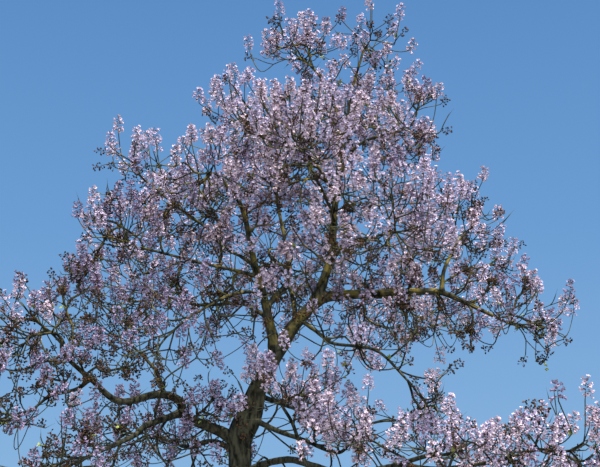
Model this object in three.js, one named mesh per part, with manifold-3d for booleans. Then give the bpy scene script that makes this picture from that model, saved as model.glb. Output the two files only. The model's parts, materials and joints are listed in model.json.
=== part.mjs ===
// A paulownia tree in full blossom, nearly leafless, rooted in the ground.
// One trunk with a root flare, boughs that each taper to a tip, and a mass of flowering twigs on every tip.
// Millimetres, +Z up, +Y away from the viewer. The origin is the middle of the flat cut at ground level.
// A heading is degrees from +X towards +Y, and a rise is degrees above level.

import * as THREE from "three";
import { mergeVertices } from "three/addons/utils/BufferGeometryUtils.js";
import Module from "manifold-3d";

const GAP = 0.3; // air between two pieces of wood that meet
const TIP = Infinity; // stands for the far end of a parent limb

// Wood
const TRUNK_SIDES = 15;
const BOUGH_SIDES = 7;
const RING_SPACING = 420; // along a limb
const CUT_DETAIL = 0.05; // detail finer than this is left out where limbs are cut to each other
const TAPER = 0.85; // below 1 a limb thins soonest near its foot
const FLARE = 0.7; // how much wider the trunk's foot is than the trunk above it
const FLARE_HEIGHT = 300; // the flare shrinks by two thirds in this height
const FLARE_LOBES = 5;
const FLARE_LOBE_DEPTH = 0.16;
const FLARE_RINGS = [0, 90, 220, 420, 750, 1300, 2200];
const COLLAR = 0.3; // swelling where a bough leaves its parent, as a share of its radius
const COLLAR_REACH = 1.1; // in widths of the bough
const BULGE = 0.42; // the trunk swells above its first fork, as a share of its radius
const BULGE_AT = 5350; // along the trunk
const BULGE_REACH = 550;

// Twigs
const TWIG_TIP = 12; // radius of a twig under its blossom
const TWIG_SIDES = 3;
const STEM_SIDES = 5;
const TWIG_DETAIL = 4; // detail finer than this is left out where twigs run together
const STEM_RINGS = [0.3, 0.65, 1]; // places of the stem's bends between its foot and its hub
const HUB_DROP = 0.35; // the hub lies this share of a mass's height below its centre
const SPUR = 240; // upturned end of a twig
const TIP_SPACING = 670;
const TIP_TRIES = 500;
const INNER_SHELL = 0.5; // tips stay outside this share of a mass's size
const OUTER_SHELL = 1.08; // twigs may dip this far out of a mass's round outline
const BEND_LENGTH = 400; // a longer twig gets a bend in its middle
const BEND = 0.4; // how far a twig first keeps its parent's direction
const WAY_BACK = 0.4; // how much the way along the twigs to the stem counts when a twig chooses its parent
const WIDEST_FORK = 0.05; // cosine of the widest angle between a twig and its parent
const CLEAR = 14; // least air between a twig and a limb, or between two masses

// Blossom and capsules: each solid stands for a few real clusters, so it is larger than life.
// waist: where it is widest. lowest, highest: the part of a mass's height that holds it.
// cluster, spur: shares of up and of outward in its own direction and in its spur's.
const BLOSSOM = {
  length: 600, radius: 185, waist: 0.34, lowest: -0.45, highest: 1, cluster: [1, 0.25], spur: [1, 0.7],
};
const CAPSULES = {
  length: 340, radius: 135, waist: 0.5, lowest: -1, highest: 0.45, cluster: [-0.2, 1], spur: [0.3, 1],
};
const CAPSULE_SHARE = 0.24;

// Each limb: its parent, how far along the parent it starts, its width at foot and tip,
// and its legs, each a length, a heading and a rise.
const LIMBS = [
  limb("trunk", null, 0, [540, 270],
    [3200, 180, 89], [1400, 0, 85], [500, 0, 90], [450, 0, 70], [400, 0, 72], [400, 10, 69], [500, 10, 60]),
  limb("right_bough", "trunk", TIP, [270, 50],
    [560, 5, 56], [550, 0, 45], [400, -5, 10], [500, -10, 0], [1000, -10, 0], [400, -15, -15],
    [750, -20, -30], [300, 5, -25]),
  limb("leader", "right_bough", 1010, [175, 48],
    [450, 0, 70], [500, 0, 75], [750, 0, 85], [1100, 0, 85], [1000, -155, 85], [550, -165, 65],
    [350, -165, 50]),
  limb("left_stem", "trunk", 6750, [190, 58],
    [445, -148, 72], [650, -130, 70], [500, -130, 65], [400, -115, 65], [650, -120, 60], [500, -145, 45]),
  limb("left_bough", "trunk", 5050, [205, 55],
    [450, -145, 20], [650, -145, 15], [300, -130, 55], [400, -155, 10], [650, -155, -15], [600, -145, 30],
    [600, -145, 35], [250, -110, 65]),
  limb("middle_stem", "left_stem", 790, [110, 56],
    [600, 60, 40], [600, 65, 45], [650, 100, 60], [1050, 120, 70]),
  limb("right_bottom_bough", "trunk", 4500, [135, 66],
    [700, -45, 10], [550, -45, 0], [650, -55, -15], [800, -50, -15], [1000, -55, 0], [800, -50, 5]),
  limb("left_low_bough", "left_bough", 1200, [130, 56],
    [1050, -120, -20], [500, -115, -30], [1000, -130, -25]),
  limb("left_hanging_bough", "left_bough", 3100, [70, 42],
    [300, -145, -40], [550, -130, -20], [400, -140, -40]),
  limb("left_rising_bough", "left_bough", 1700, [80, 46],
    [400, 160, 70], [550, 145, 45]),
  limb("left_back_bough", "trunk", 4800, [110, 50],
    [550, 140, 30], [600, 120, 10], [750, 115, 0], [1350, 120, 15]),
  limb("right_low_bough", "trunk", 5500, [105, 52],
    [700, -40, -25], [700, -45, -20], [850, -50, -20], [400, -50, 25]),
  limb("right_corner_bough", "right_bottom_bough", 3900, [80, 45],
    [850, -50, -10], [900, -45, 0], [700, -30, 10]),
  limb("front_riser", "right_bottom_bough", 1600, [85, 45],
    [250, -100, 45], [450, -120, 55], [350, -140, 50]),
  limb("left_long_bough", "left_stem", 990, [75, 42],
    [500, -120, -5], [650, -125, -20], [1050, -125, -30]),
  limb("left_shoulder_bough", "left_stem", 1540, [72, 42],
    [400, 140, 35], [450, 140, 35], [650, 160, 70]),
  limb("left_middle_bough", "left_stem", 1340, [72, 42],
    [400, -160, 10], [650, -170, 10], [600, 180, 15], [450, 180, 15]),
  limb("far_left_bough", "left_shoulder_bough", 1000, [58, 38],
    [450, -155, 30], [550, -155, 30], [450, -165, 35]),
  limb("back_left_bough", "left_stem", 590, [90, 48],
    [1300, 115, 25], [1300, 135, 10], [1050, 145, 20]),
  limb("right_leader", "leader", 2500, [80, 42],
    [750, 50, 75], [950, 35, 80], [900, 10, 75]),
  limb("upper_right_bough", "leader", 2300, [80, 42],
    [500, -30, 65], [450, -15, 40], [800, -15, 10]),
  limb("upper_left_bough", "leader", 2000, [80, 45],
    [650, -165, 60], [550, -150, 35], [500, -155, 25]),
  limb("top_back_bough", "leader", 3050, [65, 42],
    [550, 85, 40], [550, 75, 45]),
  limb("front_high_bough", "leader", 1550, [75, 42],
    [750, -100, 10], [1000, -110, 20]),
  limb("right_middle_bough", "leader", 800, [72, 42],
    [600, -60, 15], [600, -55, -5], [600, -60, -5]),
  limb("right_rising_bough", "right_bough", 3260, [85, 46],
    [400, 35, 80], [350, 40, 60], [350, 40, 60]),
  limb("right_drooping_bough", "right_bough", 610, [75, 40],
    [600, -50, -35], [550, -60, -30], [550, -50, -15], [600, -45, -20], [950, -55, -40]),
  limb("back_high_bough", "right_bough", 510, [100, 50],
    [1200, 95, 40], [1200, 105, 40], [1050, 105, 30]),
  limb("back_right_bough", "right_bough", 1710, [90, 48],
    [900, 80, 15], [950, 60, 10], [700, 65, 15]),
  limb("back_low_bough", "trunk", 5900, [95, 48],
    [1100, 50, -5], [1200, 42, -8], [1000, 40, 12]),
];

// Each mass: the bough whose tip it grows from, the leg from that tip to its centre,
// and its half sizes along X, Y and Z.
const MASSES = [
  mass("left_far_mass", "left_bough", [500, -145, 20], [1250, 1300, 900]),
  mass("left_hanging_mass", "left_hanging_bough", [850, -125, 0], [1200, 1200, 800]),
  mass("left_rising_mass", "left_rising_bough", [900, 170, 50], [1150, 1150, 950]),
  mass("left_low_mass", "left_low_bough", [800, -120, -10], [1250, 1200, 800]),
  mass("left_back_mass", "left_back_bough", [1100, 135, 15], [1450, 1350, 950]),
  mass("right_low_mass", "right_low_bough", [400, -95, 30], [900, 1000, 800]),
  mass("right_bottom_mass", "right_bottom_bough", [500, -50, 10], [1050, 1150, 750]),
  mass("right_corner_mass", "right_corner_bough", [500, -60, 15], [1150, 1000, 800]),
  mass("front_mass", "front_riser", [450, -45, 25], [1050, 900, 720]),
  mass("left_stem_mass", "left_stem", [800, -115, 0], [1200, 1200, 950]),
  mass("left_long_mass", "left_long_bough", [950, -130, -35], [1050, 1100, 900]),
  mass("left_shoulder_mass", "left_shoulder_bough", [600, 125, 35], [1150, 1150, 1000]),
  mass("left_middle_mass", "left_middle_bough", [450, 180, 45], [1100, 1150, 950]),
  mass("far_left_mass", "far_left_bough", [750, 180, 55], [850, 900, 800]),
  mass("middle_mass", "middle_stem", [1150, 80, 65], [1250, 1300, 1000]),
  mass("back_left_mass", "back_left_bough", [750, 125, 30], [1450, 1400, 1100]),
  mass("right_end_mass", "right_bough", [350, -20, 15], [1000, 1200, 850]),
  mass("leader_mass", "leader", [500, 165, 60], [1000, 1050, 850]),
  mass("right_leader_mass", "right_leader", [400, 25, 55], [850, 1000, 850]),
  mass("upper_right_mass", "upper_right_bough", [200, -140, 40], [950, 1150, 950]),
  mass("upper_left_mass", "upper_left_bough", [550, -155, 35], [1050, 1150, 900]),
  mass("top_back_mass", "top_back_bough", [900, 85, 40], [1150, 1100, 950]),
  mass("front_high_mass", "front_high_bough", [900, -110, 25], [1300, 1200, 1000]),
  mass("right_middle_mass", "right_middle_bough", [900, -95, 0], [1400, 1300, 1100]),
  mass("right_rising_mass", "right_rising_bough", [500, 105, 70], [1150, 1300, 1050]),
  mass("right_drooping_mass", "right_drooping_bough", [600, -70, -25], [900, 1000, 720]),
  mass("back_high_mass", "back_high_bough", [1100, 60, 10], [1450, 1350, 1100]),
  mass("back_right_mass", "back_right_bough", [750, 50, 0], [1450, 1350, 1050]),
  mass("back_low_mass", "back_low_bough", [1100, 50, 15], [1300, 1300, 900]),
];
const FIRST_SEED = 11;

function limb(name, parent, along, [footWidth, tipWidth], ...legs) {
  return { name, parent, along, foot: footWidth / 2, tip: tipWidth / 2, legs };
}

function mass(name, bough, leg, halfSizes) {
  return { name, bough, leg, size: new THREE.Vector3(...halfSizes) };
}

// Small helpers

const UP = new THREE.Vector3(0, 0, 1);
const vec = (x, y, z) => new THREE.Vector3(x, y, z);
const offset = (from, direction, length) => from.clone().addScaledVector(direction, length);
const between = (a, b) => b.clone().sub(a).normalize();

function legVector([length, heading, rise]) {
  const turn = THREE.MathUtils.degToRad(heading);
  const lift = THREE.MathUtils.degToRad(rise);
  const level = Math.cos(lift);
  return vec(level * Math.cos(turn), level * Math.sin(turn), Math.sin(lift)).multiplyScalar(length);
}

// Seeded random numbers from 0 to 1, the same on every run.
function seeded(seed) {
  let state = seed >>> 0;
  return () => {
    state = (state + 0x6d2b79f5) >>> 0;
    let t = state;
    t = Math.imul(t ^ (t >>> 15), t | 1);
    t ^= t + Math.imul(t ^ (t >>> 7), t | 61);
    return ((t ^ (t >>> 14)) >>> 0) / 4294967296;
  };
}

// Shortest distance between the segments a to b and c to d.
function segmentDistance(a, b, c, d) {
  const u = b.clone().sub(a);
  const v = d.clone().sub(c);
  const w = a.clone().sub(c);
  const uu = u.dot(u);
  const vv = v.dot(v);
  const uv = u.dot(v);
  const uw = u.dot(w);
  const vw = v.dot(w);
  const slope = uu * vv - uv * uv;
  const clamp = (x) => THREE.MathUtils.clamp(x, 0, 1);
  let s = slope > 1e-6 * uu * vv ? clamp((uv * vw - vv * uw) / slope) : 0;
  const t = clamp((uv * s + vw) / vv);
  s = clamp((uv * t - uw) / uu);
  return offset(a, u, s).distanceTo(offset(c, v, t));
}

// Solids

const wasm = await Module();
wasm.setup();

function solidOf(geometry) {
  const merged = mergeVertices(geometry);
  const vertProperties = merged.attributes.position.array;
  const triVerts = new Uint32Array(fullFaces(merged.index.array));
  return new wasm.Manifold(new wasm.Mesh({ numProp: 3, vertProperties, triVerts }));
}

// Drops the faces that a ring of radius 0 has drawn to a line.
function fullFaces(index) {
  const kept = [];
  for (let k = 0; k < index.length; k += 3) {
    const [a, b, c] = index.subarray(k, k + 3);
    if (a !== b && b !== c && c !== a) kept.push(a, b, c);
  }
  return kept;
}

// The direction of the path at each of its points.
function axesAlong(points, firstAxis) {
  return points.map((p, i) => {
    if (i === 0 && firstAxis) return firstAxis.clone();
    return between(points[Math.max(i - 1, 0)], points[Math.min(i + 1, points.length - 1)]);
  });
}

// A closed tube along a path, with a ring of corners at each point and flat ends.
// radiusAt gives the radius from the ring's number and the angle round it.
function tube(points, radiusAt, sides, firstAxis) {
  const axes = axesAlong(points, firstAxis);
  const corners = [];
  let across = Math.abs(axes[0].x) < 0.9 ? vec(1, 0, 0) : vec(0, 1, 0);
  points.forEach((point, ring) => {
    across = across.clone().projectOnPlane(axes[ring]).normalize();
    const other = axes[ring].clone().cross(across);
    for (let side = 0; side < sides; side++) {
      const angle = (2 * Math.PI * side) / sides;
      const radius = radiusAt(ring, angle);
      const corner = offset(point, across, radius * Math.cos(angle));
      corners.push(corner.addScaledVector(other, radius * Math.sin(angle)));
    }
  });
  const faces = [];
  const last = (points.length - 1) * sides;
  for (let ring = 0; ring < points.length - 1; ring++)
    for (let side = 0; side < sides; side++) {
      const a = ring * sides + side;
      const b = ring * sides + ((side + 1) % sides);
      faces.push(a, b, a + sides, b, b + sides, a + sides);
    }
  for (let side = 1; side < sides - 1; side++)
    faces.push(0, side + 1, side, last, last + side, last + side + 1);
  return new THREE.BufferGeometry().setFromPoints(corners).setIndex(faces);
}

// Faces that lie flat within the tolerance become one, whichever piece they came from.
function simpler(solid, tolerance) {
  return solid.asOriginal().simplify(tolerance);
}

function largestBody(solid) {
  const bodies = solid.decompose();
  return bodies.reduce((best, body) => (body.volume() > best.volume() ? body : best));
}

function boxesMeet(a, b) {
  const p = a.boundingBox();
  const q = b.boundingBox();
  return [0, 1, 2].every((k) => p.min[k] < q.max[k] && q.min[k] < p.max[k]);
}

// Limbs

const grown = new Map(); // each finished limb: its path, rings, solid and the solid that keeps others clear

function radiusAlong(l, distance, length) {
  const taper = l.foot + (l.tip - l.foot) * (distance / length) ** TAPER;
  if (l.parent === null) return taper * (1 + BULGE * Math.exp(-(((distance - BULGE_AT) / BULGE_REACH) ** 2)));
  if (l.along === TIP) return taper;
  return taper * (1 + COLLAR * Math.exp(-distance / (2 * l.foot * COLLAR_REACH)));
}

function flare(height, angle) {
  const lobes = 1 + FLARE_LOBE_DEPTH * Math.cos(FLARE_LOBES * angle);
  return 1 + FLARE * Math.exp(-height / FLARE_HEIGHT) * lobes;
}

function ringDistances(l, length) {
  const count = Math.round(length / RING_SPACING);
  const even = Array.from({ length: count + 1 }, (_, k) => (length * k) / count);
  if (l.parent !== null) return even;
  return [...FLARE_RINGS, ...even.filter((d) => d > FLARE_RINGS.at(-1) + RING_SPACING / 2)];
}

function growLimb(l) {
  const parent = grown.get(l.parent);
  const start = vec(0, 0, 0);
  let firstAxis = UP;
  if (parent) {
    const share = Math.min(l.along / parent.length, 1);
    start.copy(parent.path.getPointAt(share));
    firstAxis = l.along === TIP ? parent.tipAxis : null;
    if (l.along === TIP) start.addScaledVector(parent.tipAxis, GAP);
  }
  const joints = [start];
  for (const leg of l.legs) joints.push(joints.at(-1).clone().add(legVector(leg)));
  const path = new THREE.CatmullRomCurve3(joints, false, "catmullrom", 0.5);
  const length = path.getLength();
  const distances = ringDistances(l, length);
  const rings = distances.map((d) => path.getPointAt(Math.min(d / length, 1)));
  const radii = distances.map((d) => radiusAlong(l, d, length));
  const sides = l.parent === null ? TRUNK_SIDES : BOUGH_SIDES;
  const axes = axesAlong(rings, firstAxis);
  const shape = (extra) => {
    const points = [...rings];
    points[0] = offset(rings[0], axes[0], -2 * extra);
    points.push(offset(points.pop(), axes.at(-1), 2 * extra));
    const radiusAt = (ring, angle) => {
      const wide = l.parent === null ? flare(distances[ring], angle) : 1;
      return radii[ring] * wide + extra / Math.cos(Math.PI / sides);
    };
    return solidOf(tube(points, radiusAt, sides, firstAxis));
  };
  let solid = shape(0);
  for (const other of grown.values()) {
    const joined = l.along === TIP && other === parent;
    if (!joined && boxesMeet(solid, other.keepClear)) solid = solid.subtract(other.keepClear);
  }
  grown.set(l.name, {
    path,
    length,
    rings,
    radii,
    start,
    tipAxis: axes.at(-1),
    tip: rings.at(-1),
    tipRadius: radii.at(-1),
    solid: simpler(largestBody(solid), CUT_DETAIL),
    keepClear: shape(GAP),
  });
}

for (const l of LIMBS) growLimb(l);

// The space of each mass: an ellipsoid, and a flat border towards every other mass

for (const [number, m] of MASSES.entries()) {
  const bough = grown.get(m.bough);
  m.seed = FIRST_SEED + number;
  m.start = offset(bough.tip, bough.tipAxis, GAP);
  m.startAxis = bough.tipAxis;
  m.startRadius = bough.tipRadius;
  m.centre = bough.tip.clone().add(legVector(m.leg));
  m.stem = stemPath(m);
}
for (const m of MASSES)
  m.borders = MASSES.filter((other) => other !== m).map((other) => border(m, other));

// The stem leaves the bough's tip in the bough's direction and bends up to the hub.
function stemPath(m) {
  const hub = offset(m.centre, UP, -HUB_DROP * m.size.z);
  const reach = m.start.distanceTo(hub);
  const control = offset(m.start, m.startAxis, reach / 2);
  const curve = new THREE.QuadraticBezierCurve3(m.start, control, hub);
  return [m.start, ...STEM_RINGS.map((t) => curve.getPoint(t))];
}

function sizeTowards(m, direction) {
  return 1 / direction.clone().divide(m.size).length();
}

function border(m, other) {
  const normal = between(m.centre, other.centre);
  const mine = sizeTowards(m, normal);
  const theirs = sizeTowards(other, normal);
  const share = mine / (mine + theirs);
  return { normal, distance: m.centre.distanceTo(other.centre) * share };
}

function insideBorders(m, point, radius) {
  const fromCentre = point.clone().sub(m.centre);
  return m.borders.every(({ normal, distance }) => fromCentre.dot(normal) + radius < distance);
}

const depthIn = (m, point) => point.clone().sub(m.centre).divide(m.size).length();

// Everything that a twig of this mass must miss, as segments with a radius at each end.
function obstaclesOf(m) {
  const found = [];
  for (const { rings, radii } of grown.values())
    for (let k = 1; k < rings.length; k++)
      found.push({ a: rings[k - 1], b: rings[k], radius: Math.max(radii[k - 1], radii[k]) });
  for (const other of MASSES)
    if (other !== m)
      for (let k = 1; k < other.stem.length; k++)
        found.push({ a: other.stem[k - 1], b: other.stem[k], radius: other.startRadius });
  const reach = Math.max(m.size.x, m.size.y, m.size.z) * 2;
  return found.filter(({ a, b }) => Math.min(a.distanceTo(m.centre), b.distanceTo(m.centre)) < reach);
}

function missesAll(obstacles, a, b, radius) {
  return obstacles.every((o) => segmentDistance(a, b, o.a, o.b) > radius + o.radius + CLEAR);
}

// Twigs

// A cluster stands at each twig's end: its top, its base, and the foot of the upturned spur below it.
function drawTip(m, random) {
  const u = vec(2 * random() - 1, 2 * random() - 1, 2 * random() - 1);
  const kind = random() < CAPSULE_SHARE ? CAPSULES : BLOSSOM;
  const far = u.length();
  if (far > 1 || far < INNER_SHELL || u.z < kind.lowest || u.z > kind.highest) return null;
  const outward = u.clone().divideScalar(far);
  const towards = ([up, out]) => outward.clone().multiplyScalar(out).addScaledVector(UP, up).normalize();
  const axis = towards(kind.cluster);
  const top = m.centre.clone().add(u.clone().multiply(m.size));
  const base = offset(top, axis, -kind.length);
  const foot = offset(base, towards(kind.spur), -SPUR);
  return { kind, depth: far, axis, top, base, foot };
}

function tipFits(m, tip, obstacles) {
  const waist = offset(tip.base, tip.axis, tip.kind.waist * tip.kind.length);
  return (
    insideBorders(m, tip.top, CLEAR) &&
    insideBorders(m, waist, tip.kind.radius + CLEAR) &&
    insideBorders(m, tip.foot, 2 * CLEAR) &&
    depthIn(m, tip.foot) < OUTER_SHELL &&
    missesAll(obstacles, tip.base, tip.top, tip.kind.radius) &&
    missesAll(obstacles, tip.foot, tip.base, TWIG_TIP)
  );
}

// The outermost tips are taken first, so that the crown reaches its outline.
function scatterTips(m, obstacles) {
  const random = seeded(m.seed);
  const drawn = Array.from({ length: TIP_TRIES }, () => drawTip(m, random)).filter((tip) => tip);
  const tips = [];
  for (const tip of drawn.sort((a, b) => b.depth - a.depth)) {
    if (tips.some((other) => other.top.distanceTo(tip.top) < TIP_SPACING)) continue;
    if (tipFits(m, tip, obstacles)) tips.push(tip);
  }
  return tips.sort((a, b) => a.foot.distanceTo(m.start) - b.foot.distanceTo(m.start));
}

function addNode(nodes, parent, point) {
  const node = {
    point,
    parent,
    axis: between(parent.point, point),
    wayBack: parent.wayBack + parent.point.distanceTo(point),
    children: [],
  };
  parent.children.push(node);
  nodes.push(node);
  return node;
}

// The points of a twig from a node to a foot: it leaves near its parent's direction and bends over.
function twigPath(node, foot) {
  const reach = node.point.distanceTo(foot);
  if (reach < BEND_LENGTH) return [node.point, foot];
  const control = offset(node.point, node.axis, reach * BEND);
  const curve = new THREE.QuadraticBezierCurve3(node.point, control, foot);
  return [node.point, curve.getPoint(0.5), foot];
}

// The best node to grow from lies near the foot and not far from the stem.
function joinTip(m, nodes, tip, obstacles) {
  const cost = (node) => node.point.distanceTo(tip.foot) + WAY_BACK * node.wayBack;
  const choices = nodes
    .filter((node) => node.axis.dot(between(node.point, tip.foot)) > WIDEST_FORK)
    .sort((a, b) => cost(a) - cost(b));
  for (const node of choices) {
    const path = twigPath(node, tip.foot);
    const clear = path.slice(1).every((p, k) => missesAll(obstacles, path[k], p, TWIG_TIP));
    const inside = path.every((p) => insideBorders(m, p, 2 * CLEAR));
    if (!clear || !inside) continue;
    let end = node;
    for (const p of path.slice(1)) end = addNode(nodes, end, p);
    end = addNode(nodes, end, tip.base);
    end.cluster = tip;
    return;
  }
}

// The stem and every twig of a mass, as a tree of nodes. Twigs start above the stem's foot.
function growTwigs(m) {
  const obstacles = obstaclesOf(m);
  const foot = { point: m.start, parent: null, axis: m.startAxis, wayBack: 0, children: [] };
  const nodes = [];
  let end = foot;
  for (const p of m.stem.slice(1)) end = addNode(nodes, end, p);
  for (const tip of scatterTips(m, obstacles)) joinTip(m, nodes, tip, obstacles);
  return foot;
}

const endsOf = (node) => (node.children.length ? node.children.reduce((n, c) => n + endsOf(c), 0) : 1);

// A twig that carries n ends is n to a power times as thick as one end, so that the stem fits its bough.
function twigRadius(m, node, allEnds) {
  const power = Math.log(m.startRadius / TWIG_TIP) / Math.log(allEnds);
  return TWIG_TIP * endsOf(node) ** power;
}

// Splits the tree into chains: each follows the thickest child, and every other child starts one.
function chainsOf(foot) {
  const chains = [];
  const starts = [[foot]];
  while (starts.length) {
    const chain = starts.pop();
    let node = chain.at(-1);
    while (node.children.length) {
      const [main, ...others] = [...node.children].sort((a, b) => endsOf(b) - endsOf(a));
      for (const other of others) starts.push([node, other]);
      chain.push(main);
      node = main;
    }
    chains.push(chain);
  }
  return chains;
}

// The tube of a chain swells into the cluster at its end: out to the waist and in to a point.
function chainSolid(m, chain, foot, allEnds) {
  const isStem = chain[0] === foot;
  const points = chain.map((node) => node.point);
  const radii = chain.map((node, k) => twigRadius(m, k === 0 && !isStem ? chain[1] : node, allEnds));
  const { cluster } = chain.at(-1);
  if (cluster) {
    points.push(offset(cluster.base, cluster.axis, cluster.kind.waist * cluster.kind.length), cluster.top);
    radii.push(cluster.kind.radius, 0);
  }
  const sides = isStem ? STEM_SIDES : TWIG_SIDES;
  return solidOf(tube(points, (ring) => radii[ring], sides, isStem ? m.startAxis : null));
}

function massSolid(m) {
  const foot = growTwigs(m);
  const allEnds = endsOf(foot);
  const chains = chainsOf(foot).map((chain) => chainSolid(m, chain, foot, allEnds));
  let solid = simpler(wasm.Manifold.union(chains), TWIG_DETAIL);
  for (const [name, { keepClear }] of grown)
    if (name !== m.bough && boxesMeet(solid, keepClear)) solid = solid.subtract(keepClear);
  return largestBody(solid);
}

// Materials and the finished tree

const BARK = new THREE.MeshStandardMaterial({ color: 0x6b675c, roughness: 0.9, metalness: 0 });
const LILAC = new THREE.MeshStandardMaterial({ color: 0xb9a4cf, roughness: 0.75, metalness: 0 });

function meshOf(name, solid, start, material) {
  const { vertProperties, triVerts, numProp } = solid.getMesh();
  const geometry = new THREE.BufferGeometry()
    .setAttribute("position", new THREE.BufferAttribute(vertProperties, numProp))
    .setIndex(new THREE.BufferAttribute(triVerts, 1))
    .translate(-start.x, -start.y, -start.z);
  geometry.computeVertexNormals();
  const mesh = new THREE.Mesh(geometry, material);
  mesh.name = name;
  mesh.position.copy(start);
  return mesh;
}

const wood = new THREE.Group();
for (const [name, piece] of grown) wood.add(meshOf(name, piece.solid, piece.start, BARK));

const crown = new THREE.Group();
for (const m of MASSES) crown.add(meshOf(m.name, massSolid(m), m.start, LILAC));

const tree = new THREE.Group();
tree.add(wood, crown);
export default tree;
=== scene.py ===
# %% [markdown]
# A paulownia tree in full blossom, before its leaves open, for readers who are learning Blender.
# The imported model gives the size: a trunk, boughs, and a simple solid for each mass of flowering twigs.
# This file grows the same limbs and the same twigs once more, by the same rule, and carries them on
# to thin twigs, flowers, old seed capsules and young leaves. Everything is in metres, with +Z up.

# %% Load the frame
import functools
import json
import math
from types import SimpleNamespace

import bpy
import numpy as np
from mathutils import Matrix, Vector

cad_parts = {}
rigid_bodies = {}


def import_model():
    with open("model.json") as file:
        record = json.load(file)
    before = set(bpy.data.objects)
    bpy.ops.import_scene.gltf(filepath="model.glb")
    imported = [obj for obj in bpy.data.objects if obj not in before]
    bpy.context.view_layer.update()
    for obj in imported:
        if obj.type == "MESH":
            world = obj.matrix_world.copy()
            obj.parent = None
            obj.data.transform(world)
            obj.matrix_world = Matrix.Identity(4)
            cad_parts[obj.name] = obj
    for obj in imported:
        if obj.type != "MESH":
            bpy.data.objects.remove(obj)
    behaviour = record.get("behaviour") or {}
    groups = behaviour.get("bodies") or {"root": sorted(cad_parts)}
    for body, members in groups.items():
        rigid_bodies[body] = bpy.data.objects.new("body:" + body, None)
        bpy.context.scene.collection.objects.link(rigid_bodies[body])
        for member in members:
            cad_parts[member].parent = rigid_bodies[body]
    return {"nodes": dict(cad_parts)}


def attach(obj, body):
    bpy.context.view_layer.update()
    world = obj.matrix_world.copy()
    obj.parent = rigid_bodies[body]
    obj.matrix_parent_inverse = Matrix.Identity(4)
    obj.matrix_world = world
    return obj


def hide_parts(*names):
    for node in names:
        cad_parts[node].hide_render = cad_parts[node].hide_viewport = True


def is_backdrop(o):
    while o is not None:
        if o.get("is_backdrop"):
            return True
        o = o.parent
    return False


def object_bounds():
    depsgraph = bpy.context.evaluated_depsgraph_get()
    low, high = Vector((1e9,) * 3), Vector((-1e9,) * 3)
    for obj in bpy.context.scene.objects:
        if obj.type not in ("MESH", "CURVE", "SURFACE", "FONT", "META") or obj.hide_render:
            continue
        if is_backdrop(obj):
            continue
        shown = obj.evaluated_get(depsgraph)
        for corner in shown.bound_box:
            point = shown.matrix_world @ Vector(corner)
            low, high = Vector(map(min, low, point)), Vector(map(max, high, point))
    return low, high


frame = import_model()
cad_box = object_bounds()
limb_nodes = sorted(name for name in frame["nodes"] if not name.endswith("_mass"))
mass_nodes = sorted(name for name in frame["nodes"] if name.endswith("_mass"))
print("frame:", len(limb_nodes), "limbs and", len(mass_nodes), "masses")

# %% [markdown]
# The photographer stood 22 m off, a little to the right of the trunk, and tilted the camera up.
# A long lens keeps the far boughs nearly as large as the near ones. The camera is level from side to side.

# %% Camera
EYE = (1.08, -22.0, 1.6)
TILT_UP = math.radians(18)
FOCAL_LENGTH = 78  # millimetres, on Blender's sensor of 36 mm
LEVEL = math.radians(90)

lens = bpy.data.cameras.new("camera")
lens.lens = FOCAL_LENGTH
camera = bpy.data.objects.new("camera", lens)
camera.location = EYE
camera.rotation_euler = (LEVEL + TILT_UP, 0, 0)
bpy.context.scene.collection.objects.link(camera)
bpy.context.scene.camera = camera
print("camera:", round(math.degrees(lens.angle), 1), "degrees wide")

# %% [markdown]
# Each limb is a row: its parent, how far along the parent it starts, its width at foot and tip,
# and its legs, each a length, a heading and a rise. A heading is degrees from +X towards +Y, and a rise
# is degrees above level. The rows are the source's own, in metres.

# %% Limb rows
TIP = math.inf  # stands for the far end of a parent limb


def limb(name, parent, along, widths, *legs):
    foot, tip = (width / 2 for width in widths)
    return SimpleNamespace(name=name, parent=parent, along=along, foot=foot, tip=tip, legs=legs)


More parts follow.
